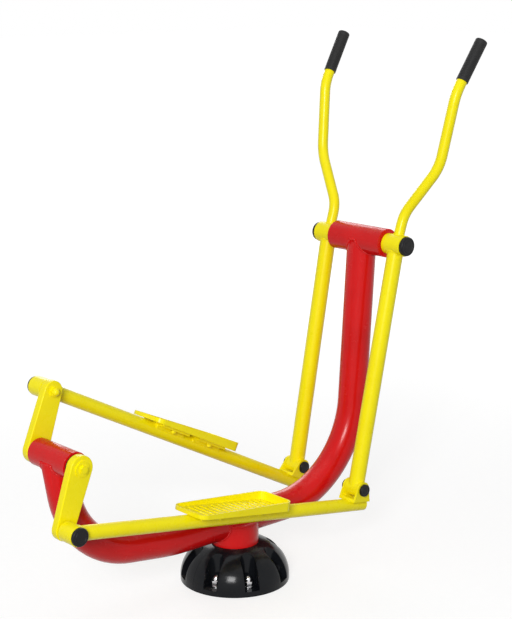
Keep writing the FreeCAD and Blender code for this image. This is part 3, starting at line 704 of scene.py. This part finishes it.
class HandleTree(GeometryTree):
    """Sweeps a round tube along a line whose corners are rounded."""

    SIDES = 56
    BEND_STEPS = 22

    def __init__(self) -> None:
        """Builds the tree."""
        super().__init__("bent_tube")
        inputs = {"Curve": self.line(), "Count": self.BEND_STEPS, "Radius": self.attribute("bend")}
        path = self.out("GeometryNodeFilletCurve", inputs, mode="POLY")
        self.sweep(path, self.SIDES, self.input("Tube radius"), {"Fill Caps": True})


class GripTree(GeometryTree):
    """Turns a ribbed rubber sleeve along a straight line."""

    SIDES = 48
    RINGS = 420
    # Steepness and middle of a rib's flanks, before they are held between 0 and 1.
    STEEP = 1.3
    MIDDLE = 0.5

    def __init__(self) -> None:
        """Builds the tree, whose sleeve has plain ends and a rounded tip."""
        super().__init__("ribbed_grip")
        outer, depth, pitch = map(self.input, ("Outer radius", "Rib depth", "Rib pitch"))
        length, rim, plain = map(self.input, ("Grip length", "Tip rounding", "Plain end"))
        inputs = {"Curve": self.line(), "Count": self.RINGS}
        path = self.out("GeometryNodeResampleCurve", inputs, mode="COUNT")
        along = self.attribute("from_root")
        left = self.minus(length, along)
        wave = self.times(self.wave(along, pitch), self.STEEP)
        wave = self.math("ADD", wave, self.MIDDLE, clamp=True)
        ribbed = self.times(
            self.math("GREATER_THAN", along, plain),
            self.math("GREATER_THAN", left, self.plus(plain, rim)),
        )
        groove = self.times(self.times(ribbed, wave), depth)
        past = self.math("DIVIDE", self.minus(rim, left), rim, clamp=True)
        bow = self.math("SQRT", self.math("SUBTRACT", 1.0, self.times(past, past), clamp=True))
        tip_loss = self.times(rim, self.minus(1.0, bow))
        width = self.minus(self.minus(outer, groove), tip_loss)
        self.sweep(path, self.SIDES, 1.0, {"Scale": width, "Fill Caps": True})


@dataclass(frozen=True)
class PlugCap:
    """A moulded round cap with a rounded rim and a shallow ring in its face.

    The section gives the ring's points, across in ring widths and down in ring depths. The
    gate is the mark in the middle of the face, by radius and depth.
    """

    radius: float
    height: float
    rim: float
    ring: float
    lip: float = 0.0004
    ring_depth: float = 0.0007
    ring_width: float = 0.0011
    section: tuple[Span, ...] = ((2, 0), (1, 0.3), (0.6, 1), (-0.6, 1), (-1, 0.3), (-2, 0))
    gate: tuple[Span, ...] = ((0.0022, 0.0), (0.0016, 0.0004), (0.0004, 0.0005))
    rim_steps: int = 8
    steps: int = 96
    crease: float = 28.0

    def profile(self) -> list[Span]:
        """Draws the cap's section from the open side to the centre of the face.

        Returns:
            Radius and height of each ring.
        """
        line = [(self.radius - self.lip, 0.0), (self.radius, self.lip)]
        for i in range(self.rim_steps + 1):
            a = math.pi / 2 * i / self.rim_steps
            radius = self.radius - self.rim * (1 - math.cos(a))
            line.append((radius, self.height - self.rim * (1 - math.sin(a))))
        for across, down in self.section:
            radius = self.ring + across * self.ring_width
            line.append((radius, self.height - down * self.ring_depth))
        line.append((self.ring / 2, self.height))
        return line + [(radius, self.height - depth) for radius, depth in self.gate]

    def mesh(self, places: list[Matrix]) -> bpy.types.Mesh:
        """Turns the cap at each place, where its open side's centre goes.

        Args:
            places: The places. The cap grows along their Y.

        Returns:
            The mesh.
        """
        rows = []
        for radius, height in self.profile():
            around = turns(self.steps)
            rows.append([(radius * math.cos(a), height, radius * math.sin(a)) for a in around])
        return lofted("cap", rows, places, self.crease)


@dataclass(frozen=True)
class WeldLoop:
    """One closed weld bead: its path and its half width."""

    points: list[Vector]
    bead: float


@dataclass(frozen=True)
class Linkage:
    """Where the levers and bars stand at rest, from the record's joints."""

    crank_radius: float = 0.163
    crank_phase: float = math.radians(19.8)
    bar_length: float = 1.032
    pivot_rise: float = 0.052

    def joint(self, name: str) -> Vector:
        """The place of one of the record's joints."""
        return next(Vector(joint["pos_m"]) for joint in frame["joints"] if joint["name"] == name)

    @property
    def crank(self) -> Vector:
        """The crank's axis in the plane of symmetry."""
        return self.joint("crank")

    @property
    def pivot(self) -> Vector:
        """The upper pivot in the plane of symmetry."""
        return self.joint("right_lever_swing")

    def low_pivot(self, side: Side) -> Vector:
        """The pivot between one lever and its bar."""
        return self.joint(side.word + "_bar_pivot")

    def lever_place(self, side: Side) -> Matrix:
        """Moves a lever's own frame, whose origin is the upper pivot, to its place."""
        run = self.pivot - self.low_pivot(side)
        return Matrix.Translation(self.pivot) @ Matrix.Rotation(math.atan2(run.x, run.z), 4, "Y")

    def bar_place(self, side: Side) -> Matrix:
        """Moves a bar's own frame, whose origin is the crank pin, to its place.

        Args:
            side: Side of the bar.

        Returns:
            The place.
        """
        reach = Vector((math.sin(self.crank_phase), 0, math.cos(self.crank_phase)))
        pin = self.crank + reach * self.crank_radius * side.value
        run = self.low_pivot(side) - pin
        tilt = math.atan2(-run.z, run.x) + math.atan2(self.pivot_rise, self.bar_length)
        return Matrix.Translation(pin) @ Matrix.Rotation(tilt, 4, "Y")


class Kit:
    """What the assemblies share: materials, places of the joints and the sweeping trees."""

    def __init__(self) -> None:
        """Builds all of it once."""
        self.materials = {recipe.slot: recipe.material() for recipe in recipes()}
        self.linkage = Linkage()
        self.welds, self.handles, self.grips = WeldTree(), HandleTree(), GripTree()


@dataclass(frozen=True)
class Assembly:
    """Pieces that ride on one body, with short calls that dress and place them."""

    kit: Kit
    part: ClassVar[str] = "frame"

    @property
    def prefix(self) -> str:
        """What the names of the body, its nodes and its pieces start with."""
        return ""

    @property
    def body(self) -> str:
        """The CAD body that the pieces ride on."""
        return self.prefix + self.part

    def settle(self, piece: bpy.types.Object, slot: Slot, node: str = "") -> None:
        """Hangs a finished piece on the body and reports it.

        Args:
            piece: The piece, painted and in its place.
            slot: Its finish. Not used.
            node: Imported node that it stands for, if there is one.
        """
        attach(piece, self.body)
        if node:
            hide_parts(node)
        LOG.info("%s on %s, %d faces", piece.name, self.body, len(piece.data.polygons))

    def grow(
        self, tree: GeometryTree, carrier: bpy.types.Object, name: str, slot: Slot,
        sizes: dict[str, float], node: str = "",
    ) -> None:
        """Runs a tree on a carrier, and settles the result as a piece of that name."""
        inputs = {**sizes, "Paint": self.kit.materials[slot]}
        self.settle(tree.apply(carrier, name, inputs), slot, node)

    def dress(self, nodes: str, slot: Slot, edge: float, segments: int = 2) -> None:
        """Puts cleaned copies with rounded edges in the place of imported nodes.

        Args:
            nodes: Names of the nodes without the prefix, with spaces between.
            slot: Their finish.
            edge: Width of the rounding, or 0 for none.
            segments: Faces across the rounding.
        """
        for name in nodes.split():
            node = self.prefix + name
            piece = new_object(f"{node}_{slot.word}", cleaned(node))
            paint(piece.data, self.kit.materials[slot])
            if edge:
                bevel = piece.modifiers.new("soft_edges", "BEVEL")
                bevel.width, bevel.segments = edge, segments
                bevel.limit_method, bevel.angle_limit = "ANGLE", math.radians(CREASE)
                bevel.harden_normals = True
            self.settle(piece, slot, node)

    def keep(self, nodes: str, slot: Slot) -> None:
        """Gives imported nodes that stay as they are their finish.

        Args:
            nodes: Names of the nodes without the prefix, with spaces between.
            slot: Their finish.
        """
        for name in nodes.split():
            node = self.prefix + name
            paint(frame["nodes"][node].data, self.kit.materials[slot])
            LOG.info("%s keeps its packed shape", node)

    def weld(self, slot: Slot, loops: list[WeldLoop]) -> None:
        """Lays all beads of the assembly as one piece.

        Args:
            slot: Paint over the beads.
            loops: The seams.
        """
        name = self.body + "_welds"
        lines = [loop.points for loop in loops]
        beads = [loop.bead for loop in loops for _ in loop.points]
        carrier = line_object(name + "_path", lines, True, {"bead": beads})
        self.grow(self.kit.welds, carrier, name, slot, WeldTree.SIZES)


@dataclass(frozen=True)
class SidedAssembly(Assembly):
    """An assembly of each side, drawn on the left in its own frame."""

    side: Side

    @property
    def prefix(self) -> str:
        """What the names of the body, its nodes and its pieces start with."""
        return self.side.word + "_"

    @property
    def place(self) -> Matrix:
        """Place of the assembly's own frame."""
        raise NotImplementedError

    def placed(self, points: list[Triple]) -> list[Vector]:
        """Brings points drawn on the left to this side and into their place."""
        return [self.place @ Vector((x, y * self.side.value, z)) for x, y, z in points]

    def facing(self, x: float, y: float, z: float, outward: float = 1.0) -> Matrix:
        """Place on an outer face, or with outward -1 on an inner one, with its Y off the face."""
        mirror = Matrix.Diagonal((1, self.side.value * outward, 1, 1))
        return self.place @ (Matrix.Translation((x, y * self.side.value, z)) @ mirror)

    def cap(self, name: str, shape: PlugCap, places: list[Matrix]) -> None:
        """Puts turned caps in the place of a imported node.

        Args:
            name: Name of the node without the prefix.
            shape: The cap.
            places: Where its copies go.
        """
        node = self.prefix + name
        piece = new_object(f"{node}_{Slot.CAP.word}", shape.mesh(places))
        paint(piece.data, self.kit.materials[Slot.CAP])
        self.settle(piece, Slot.CAP, node)


@dataclass(frozen=True)
class Base(Assembly):
    """Flange, domed cover and the ring of ground bolts."""

    bolt_circle: float = 0.120
    bolts: int = 8
    first_bolt: float = math.radians(22.5)
    washer_z: float = 0.017
    washer_radius: float = 0.015
    washer_height: float = 0.003
    lip: float = 0.0004
    nut_flats: float = 0.024
    nut_hex: float = 0.015
    nut_height: float = 0.030
    nut_dome: float = 0.011
    dome_step: float = 0.0003
    dome_rings: int = 13
    cone_share: float = 0.985
    chamfer: float = math.tan(math.radians(30))
    foot_chamfer: float = 0.4 * chamfer
    steps: int = 72
    crease: float = 24.0

    def ring(self, radius: float, height: float) -> list[Triple]:
        """One round ring of points."""
        return [(radius * math.cos(a), radius * math.sin(a), height) for a in turns(self.steps)]

    def corner_ring(self, height: float, slope: float) -> list[Triple]:
        """The ring where a chamfer's cone meets the six flats.

        Args:
            height: Height of the cone where it starts.
            slope: Its rise for each unit outwards.

        Returns:
            The points.
        """
        half, sixth = self.nut_flats / 2, math.pi / 3
        row = []
        for a in turns(self.steps):
            radius = half / math.cos((a + sixth / 2) % sixth - sixth / 2)
            rise = slope * (radius - half * self.cone_share)
            row.append((radius * math.cos(a), radius * math.sin(a), height + rise))
        return row

    def nut_mesh(self) -> bpy.types.Mesh:
        """One domed nut on its washer, standing on the origin.

        Returns:
            The mesh.
        """
        cone = self.nut_flats / 2 * self.cone_share
        seat = self.washer_height
        top = seat + self.nut_hex
        rows = [
            self.ring(self.washer_radius - self.lip, 0.0),
            self.ring(self.washer_radius, self.lip),
            self.ring(self.washer_radius, seat - self.lip),
            self.ring(self.washer_radius - self.lip, seat),
            self.ring(cone, seat),
            self.corner_ring(seat, self.foot_chamfer),
            self.corner_ring(top, -self.chamfer),
            self.ring(cone, top),
            self.ring(self.nut_dome + self.dome_step, top),
            self.ring(self.nut_dome, top + self.lip),
        ]
        dome_z = seat + self.nut_height - self.nut_dome
        for a in turns(self.dome_rings, 0.0, math.pi / 2):
            rise = self.nut_dome * math.sin(a)
            rows.append(self.ring(self.nut_dome * math.cos(a), dome_z + rise))
        return lofted("cap_nut", rows, [Matrix.Identity(4)], self.crease)

    def ring_tree(self) -> GeometryTree:
        """A tree that sets one nut on each ground bolt.

        Returns:
            The tree.
        """
        tree = GeometryTree("ground_bolt_ring")
        radius, turn, height = map(tree.input, ("Bolt circle", "First bolt", "Seat height"))
        count = tree.input("Bolts", "NodeSocketInt")
        inputs = {
            "Geometry": tree.out("GeometryNodeMeshCircle", {"Vertices": count, "Radius": radius}),
            "Rotation": tree.out("ShaderNodeCombineXYZ", {"Z": turn}),
            "Translation": tree.out("ShaderNodeCombineXYZ", {"Z": height}),
        }
        ring = tree.out("GeometryNodeTransform", inputs)
        share = tree.over(tree.out("GeometryNodeInputIndex"), count)
        spin = tree.plus(tree.times(share, 2 * math.pi), turn)
        spin = tree.out("ShaderNodeCombineXYZ", {"Z": spin})
        spin = tree.out("FunctionNodeEulerToRotation", {"Euler": spin})
        inputs = {"Points": ring, "Instance": tree.start, "Rotation": spin}
        tree.end(tree.out("GeometryNodeInstanceOnPoints", inputs))
        return tree

    def build(self) -> None:
        """Builds the base."""
        self.dress("base_cover", Slot.COVER, edge=0.0012, segments=3)
        self.dress("base_flange", Slot.PRIMED, edge=0.001)
        self.keep("base_gussets", Slot.PRIMED)
        sizes = {
            "Bolt circle": self.bolt_circle,
            "First bolt": self.first_bolt,
            "Seat height": self.washer_z,
            "Bolts": self.bolts,
        }
        nut, name = new_object("cap_nut", self.nut_mesh()), "ground_nuts_plated"
        self.grow(self.ring_tree(), nut, name, Slot.BRIGHT, sizes, "anchor_cap_nuts")


@dataclass(frozen=True)
class Beam(Assembly):
    """Column, bent beam, and the tubes across its two ends."""

    column_radius: float = 0.070
    beam_radius: float = 0.0445
    beam_z: float = 0.176
    plate: float = 0.006
    housing_radius: float = 0.038
    cross_radius: float = 0.043
    rear_run: Triple = (0.048, 0.0, -0.281)
    front_run: Triple = (-0.050, 0.0, -0.775)
    bead: float = 0.0034
    plate_bead: float = 0.0014
    plate_gap: float = 0.002
    plate_inside: float = 0.97
    column_steps: int = 40
    edge_steps: int = 8
    steps: int = 48

    def column_seam(self) -> WeldLoop:
        """Seam of the column and its top plates against the beam.

        Returns:
            The closed seam.
        """
        corner = math.asin(self.beam_radius / self.column_radius)
        plate_y = math.sqrt(self.beam_radius**2 - self.plate**2)
        end_x = self.column_radius * math.cos(corner)
        points: list[Triple] = []
        for start, sign in ((0.0, 1.0), (math.pi, -1.0)):
            for a in turns(self.column_steps, start - corner, start + corner):
                y = self.column_radius * math.sin(a)
                drop = math.sqrt(max(0.0, self.beam_radius**2 - y * y))
                points.append((self.column_radius * math.cos(a), y, self.beam_z - drop))
            points.append((sign * end_x, sign * self.beam_radius, self.beam_z))
            for i in range(2 * self.edge_steps + 1):
                x = sign * end_x * (1 - i / self.edge_steps)
                points.append((x, sign * plate_y, self.beam_z + self.plate))
            points.append((-sign * end_x, sign * self.beam_radius, self.beam_z))
        return WeldLoop([Vector(point) for point in points], self.bead)

    def plate_seams(self) -> list[WeldLoop]:
        """Thin seams between the top plates and the column's rim.

        Returns:
            The closed seams.
        """
        corner = math.asin((self.beam_radius + self.plate_gap) / self.column_radius)
        lift = Vector((0.0, 0.0, self.beam_z))
        loops = []
        for start in (corner, math.pi + corner):
            rim = [
                Vector((math.cos(a), math.sin(a), 0.0)) * self.column_radius
                for a in turns(self.steps, start, start + math.pi - 2 * corner)
            ]
            inside = [point * self.plate_inside for point in reversed(rim)]
            loops.append(WeldLoop([point + lift for point in rim + inside], self.plate_bead))
        return loops

    def tube_seam(self, centre: Vector, run: Triple, radius: float) -> WeldLoop:
        """Seam where the beam ends on a tube that lies across it.

        Args:
            centre: Middle of the tube.
            run: Direction of the beam as it leaves that tube.
            radius: Radius of the tube.

        Returns:
            The closed seam.
        """
        along = Vector(run).normalized()
        across = Vector((-along.z, 0.0, along.x))
        angles = [math.pi * i / self.steps for i in range(self.steps + 1)]
        points = []
        for sign in (1.0, -1.0):
            for a in angles[:: int(sign)]:
                wide = radius * math.cos(a)
                y = sign * math.sqrt(self.beam_radius**2 - wide**2)
                spot = along * radius * math.sin(a) + across * wide
                points.append(centre + spot + Vector((0, y, 0)))
        return WeldLoop(points, self.bead)

    def build(self) -> None:
        """Builds the red frame."""
        linkage = self.kit.linkage
        self.dress("main_beam", Slot.RED, edge=0.0)
        self.dress("column column_cap_plates crank_housing top_cross_tube", Slot.RED, edge=0.0009)
        self.dress("cross_tube_end_plates", Slot.RED, edge=0.0005)
        self.dress("crank_seals", Slot.SEAL, edge=0.0004)
        self.keep("crank_bearings pivot_axle pivot_spacers pivot_inner_rings", Slot.TURNED)
        self.keep("pivot_nuts", Slot.BRIGHT)
        self.weld(Slot.RED, [
            self.column_seam(),
            *self.plate_seams(),
            self.tube_seam(linkage.crank, self.rear_run, self.housing_radius),
            self.tube_seam(linkage.pivot, self.front_run, self.cross_radius),
        ])


@dataclass(frozen=True)
class Crankset(Assembly):
    """The two crank arms, their shaft, pins and bolts."""

    part: ClassVar[str] = "crankset"

    def build(self) -> None:
        """Builds the crankset."""
        self.dress("right_crank_arm left_crank_arm", Slot.YELLOW, edge=0.0006)
        self.dress("crank_fasteners", Slot.YELLOW, edge=0.0005)
        self.dress("crank_pins", Slot.TURNED, edge=0.0005)
        self.dress("crank_spacers", Slot.TURNED, edge=0.0004)
        self.keep("crank_shaft crank_inner_rings crank_keys", Slot.TURNED)


@dataclass(frozen=True)
class Lever(SidedAssembly):
    """One lever with its hub, handle, grip and lower boss."""

    part: ClassVar[str] = "lever"
    middle_y: float = 0.143
    hub_radius: float = 0.031
    hub_end_y: float = 0.178
    tube_radius: float = 0.024
    length: float = 0.738
    cap_shape: PlugCap = PlugCap(0.0285, 0.013, 0.005, 0.0195)
    handle_radius: float = 0.016
    handle_root: float = 0.024
    knee: Triple = (0.010, 0.0, 0.093)
    elbow: Triple = (0.020, 0.097, 0.243)
    wrist: Triple = (0.012, 0.119, 0.460)
    tip: Triple = (0.074, 0.129, 0.626)
    bends: Triple = (0.100, 0.150, 0.150)
    grip_radius: float = 0.0185
    grip_length: float = 0.137
    grip_end: float = 0.006
    grip_tip: float = 0.005
    grip_plain: float = 0.0104
    rib_depth: float = 0.0009
    rib_pitch: float = 0.0052
    hub_bead: float = 0.0024
    handle_bead: float = 0.00204
    boss_bead: float = 0.0010

    @property
    def place(self) -> Matrix:
        """Place of the lever's own frame."""
        return self.kit.linkage.lever_place(self.side)

    def seams(self) -> list[WeldLoop]:
        """Beads round the lever tube's two ends and the handle tube's foot.

        Returns:
            The closed seams.
        """
        top, handle, foot = [], [], []
        lean = Vector(self.knee).normalized()
        across = Vector((lean.z, 0.0, -lean.x))
        for a in turns(SEAM_STEPS):
            x, y = self.tube_radius * math.cos(a), self.tube_radius * math.sin(a)
            top.append((x, self.middle_y + y, -math.sqrt(self.hub_radius**2 - x * x)))
            foot.append((x, self.middle_y + y, -self.length + abs(y)))
            wide = self.handle_radius * math.cos(a)
            spot = lean * math.sqrt(self.hub_radius**2 - wide * wide) + across * wide
            handle.append((spot.x, self.middle_y + self.handle_radius * math.sin(a), spot.z))
        return [
            WeldLoop(self.placed(top), self.hub_bead),
            WeldLoop(self.placed(handle), self.handle_bead),
            WeldLoop(self.placed(foot), self.boss_bead),
        ]

    def build_handle(self) -> None:
        """Bends the handle tube and turns the grip on it."""
        start = Vector((0.0, self.middle_y, 0.0))
        knee, elbow, wrist, tip = (
            start + Vector(corner) for corner in (self.knee, self.elbow, self.wrist, self.tip)
        )
        first, last = (knee - start).normalized(), (tip - wrist).normalized()
        end = tip - last * self.grip_end
        line = self.placed([start + first * self.handle_root, knee, elbow, wrist, end])
        bends = {"bend": [0.0, *self.bends, 0.0]}
        carrier = line_object(self.prefix + "handle_line", [line], False, bends)
        name, node = self.prefix + "handle_painted", self.prefix + "handle_tube"
        sizes = {"Tube radius": self.handle_radius}
        self.grow(self.kit.handles, carrier, name, Slot.YELLOW, sizes, node)
        tip = end + last * self.grip_end
        line = self.placed([tip - last * self.grip_length, tip])
        reach = {"from_root": [0.0, self.grip_length]}
        carrier = line_object(self.prefix + "grip_line", [line], False, reach)
        name, node = self.prefix + "grip_ribbed", self.prefix + "handle_grip"
        sizes = {
            "Outer radius": self.grip_radius,
            "Rib depth": self.rib_depth,
            "Rib pitch": self.rib_pitch,
            "Grip length": self.grip_length,
            "Tip rounding": self.grip_tip,
            "Plain end": self.grip_plain,
        }
        self.grow(self.kit.grips, carrier, name, Slot.GRIP, sizes, node)

    def build(self) -> None:
        """Builds one lever."""
        self.dress("lever_tube lever_hub lower_boss", Slot.YELLOW, edge=0.0007)
        self.dress("lower_bushes", Slot.BUSH, edge=0.0003)
        self.keep("hub_bearings", Slot.TURNED)
        self.cap("pivot_cap", self.cap_shape, [self.facing(0.0, self.hub_end_y, 0.0)])
        self.build_handle()
        self.weld(Slot.YELLOW, self.seams())


@dataclass(frozen=True)
class PedalBar(SidedAssembly):
    """One pedal bar with its housing, fork, tray and caps."""

    part: ClassVar[str] = "bar"
    middle_y: float = 0.143
    bar_radius: float = 0.020
    housing_radius: float = 0.027
    housing_end_y: float = 0.170
    rear_cap: PlugCap = PlugCap(0.025, 0.009, 0.0035, 0.0165)
    lower_cap: PlugCap = PlugCap(0.01848, 0.0095, 0.003, 0.0115)
    fork_half: float = 0.034
    fork_skirt_z: float = 0.015
    fork_face_y: float = 0.0325
    bracket_x: Span = (0.468, 0.618)
    bracket_half: float = 0.055
    bracket_skirt_z: float = 0.006
    bead: float = 0.0022
    bracket_bead: float = 0.00176
    saddle_steps: int = 12

    @property
    def place(self) -> Matrix:
        """Place of the bar's own frame."""
        return self.kit.linkage.bar_place(self.side)

    def saddle(self, x: float, half: float, low_z: float, bead: float) -> WeldLoop:
        """Bead round a bracket that sits on the bar.

        Args:
            x: Middle of the bracket along the bar.
            half: Half of its length.
            low_z: Height at which its sides end on the bar.
            bead: Half width of the bead.

        Returns:
            The closed seam.
        """
        reach = math.acos(low_z / self.bar_radius)
        points = []
        for end in (-1.0, 1.0):
            for i in range(2 * self.saddle_steps + 1):
                a = end * reach * (1 - i / self.saddle_steps)
                y, z = self.bar_radius * math.sin(a), self.bar_radius * math.cos(a)
                points.append((x + end * half, self.middle_y + y, z))
        return WeldLoop(self.placed(points), bead)

    def seams(self) -> list[WeldLoop]:
        """Beads of the rear housing, the fork and the tray's brackets.

        Returns:
            The closed seams.
        """
        rear = []
        for a in turns(SEAM_STEPS):
            y, z = self.bar_radius * math.sin(a), self.bar_radius * math.cos(a)
            rear.append((math.sqrt(self.housing_radius**2 - z * z), self.middle_y + y, z))
        fork_x = self.kit.linkage.bar_length
        return [
            WeldLoop(self.placed(rear), self.bead),
            self.saddle(fork_x, self.fork_half, self.fork_skirt_z, self.bead),
            *(
                self.saddle(x, self.bracket_half, self.bracket_skirt_z, self.bracket_bead)
                for x in self.bracket_x
            ),
        ]

    def build(self) -> None:
        """Builds one bar."""
        self.dress("pedal_bar fork tray_brackets rear_housing bar_plug", Slot.YELLOW, edge=0.0008)
        self.dress("foot_tray", Slot.YELLOW, edge=0.0009, segments=3)
        self.dress("tray_fasteners", Slot.YELLOW, edge=0.0005)
        self.keep("lower_bolt", Slot.BRIGHT)
        self.cap("rear_cap", self.rear_cap, [self.facing(0.0, self.housing_end_y, 0.0)])
        linkage = self.kit.linkage
        self.cap("lower_caps", self.lower_cap, [
            self.facing(
                linkage.bar_length, self.middle_y + out * self.fork_face_y, linkage.pivot_rise, out
            )
            for out in (1.0, -1.0)
        ])
        self.weld(Slot.YELLOW, self.seams())


def aimed(name: str, data: bpy.types.ID, place: Triple, aim: Triple) -> bpy.types.Object:
    """Puts a lamp or a camera in its place and turns it to its aim.

    Args:
        name: Name of the object.
        data: The lamp or camera.
        place: Its place.
        aim: What it looks at.

    Returns:
        The object.
    """
    thing = new_object(name, data)
    thing.location = place
    thing.rotation_euler = (Vector(aim) - Vector(place)).to_track_quat("-Z", "Y").to_euler()
    return thing


@dataclass(frozen=True)
class Lamp:
    """One soft lamp of the studio."""

    name: str
    place: Triple
    aim: Triple
    width: float
    power: float

    def build(self) -> None:
        """Hangs the lamp."""
        data = bpy.data.lights.new(self.name, "AREA")
        data.shape, data.size, data.energy = "SQUARE", self.width, self.power
        aimed(self.name, data, self.place, self.aim)


@dataclass(frozen=True)
class Studio:
    """White floor, soft lamps and the camera of the photograph."""

    eye: Triple = (-2.744, -3.164, 1.754)
    target: Triple = (0.0836, 0.0, 0.7953)
    lens: float = 88.1
    sensor: float = 36.0
    sight: float = 200.0
    floor_size: float = 60.0
    floor_grain: Grain = Grain(40.0)
    floor_spread: Span = (0.2, 0.8)
    floor_greys: Span = (0.35, 0.37)
    lit_reach: Span = (0.9, 5.0)
    lifts: Span = (0.715, 0.93)
    sky: float = 0.30
    lamps: tuple[Lamp, ...] = (
        Lamp("overhead", (-0.4, -0.3, 4.2), (0.0, 0.0, 0.6), 3.0, 18.0),
        Lamp("key", (-5.5, -4.7, 3.5), (0.0, 0.0, 0.7), 2.1, 430.0),
        Lamp("back_fill", (2.9, 4.6, 2.8), (0.0, 0.0, 0.7), 2.8, 80.0),
    )

    def background_share(self, tree: NodeTree) -> Socket:
        """Share of the rays that should see a white background.

        Args:
            tree: Tree of the floor's material or of the world.

        Returns:
            The share socket.
        """
        rays = tree.add("ShaderNodeLightPath").outputs
        seen = tree.math("MAXIMUM", rays["Is Camera Ray"], rays["Is Glossy Ray"])
        return tree.math("MAXIMUM", seen, rays["Is Transmission Ray"])

    def build_floor(self) -> None:
        """Lays the floor, which looks white and keeps the walker's shadow."""
        tree = ShaderTree("studio_floor")
        grain = tree.noise(tree.place(), self.floor_grain)
        grey = tree.ramp(grain, self.floor_spread, self.floor_greys)
        matte = tree.out("ShaderNodeBsdfDiffuse", {"Color": tree.blend(grey, (0, 0, 0), (1, 1, 1))})
        spot = tree.add("ShaderNodeTexCoord").outputs["Object"]
        reach = tree.add("ShaderNodeVectorMath", {0: spot}, operation="LENGTH").outputs["Value"]
        lift = tree.times(self.background_share(tree), tree.ramp(reach, self.lit_reach, self.lifts))
        glow = tree.out("ShaderNodeEmission", {"Strength": lift})
        both = tree.out("ShaderNodeAddShader", {0: matte, 1: glow})
        tree.add("ShaderNodeOutputMaterial", {"Surface": both})
        half = self.floor_size / 2
        corners = [(-half, -half, 0), (half, -half, 0), (half, half, 0), (-half, half, 0)]
        mesh = bpy.data.meshes.new("floor")
        mesh.from_pydata(corners, [], [(0, 1, 2, 3)])
        mesh.materials.append(tree.material)
        new_object("studio_floor", mesh)

    def build_world(self) -> None:
        """Fills the room with soft light, and shows it as white."""
        world = bpy.data.worlds.new("studio_sky")
        world.use_nodes = True
        tree = NodeTree(world.node_tree)
        inputs = {"Value": self.background_share(tree), "To Min": self.sky}
        back = tree.nodes["Background"].inputs
        back["Color"].default_value = (1, 1, 1, 1)
        tree.links.new(tree.out("ShaderNodeMapRange", inputs), back["Strength"])
        bpy.context.scene.world = world

    def build_camera(self) -> None:
        """Sets the camera at the photograph's place."""
        data = bpy.data.cameras.new("photograph")
        data.lens, data.sensor_width, data.clip_end = self.lens, self.sensor, self.sight
        bpy.context.scene.camera = aimed("photograph", data, self.eye, self.target)

    def build(self) -> None:
        """Builds the studio."""
        self.build_floor()
        self.build_world()
        self.build_camera()
        for lamp in self.lamps:
            lamp.build()
        bpy.context.scene.view_settings.view_transform = "Standard"


def main() -> None:
    """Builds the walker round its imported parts, and the studio."""
    logging.basicConfig(level=logging.INFO, format="%(name)s: %(message)s")
    Studio().build()
    kit = Kit()
    for assembly in (Base, Beam, Crankset):
        assembly(kit).build()
    for side in Side:
        Lever(kit, side).build()
        PedalBar(kit, side).build()
    LOG.info("boxes written")


if __name__ == "__main__":
    main()
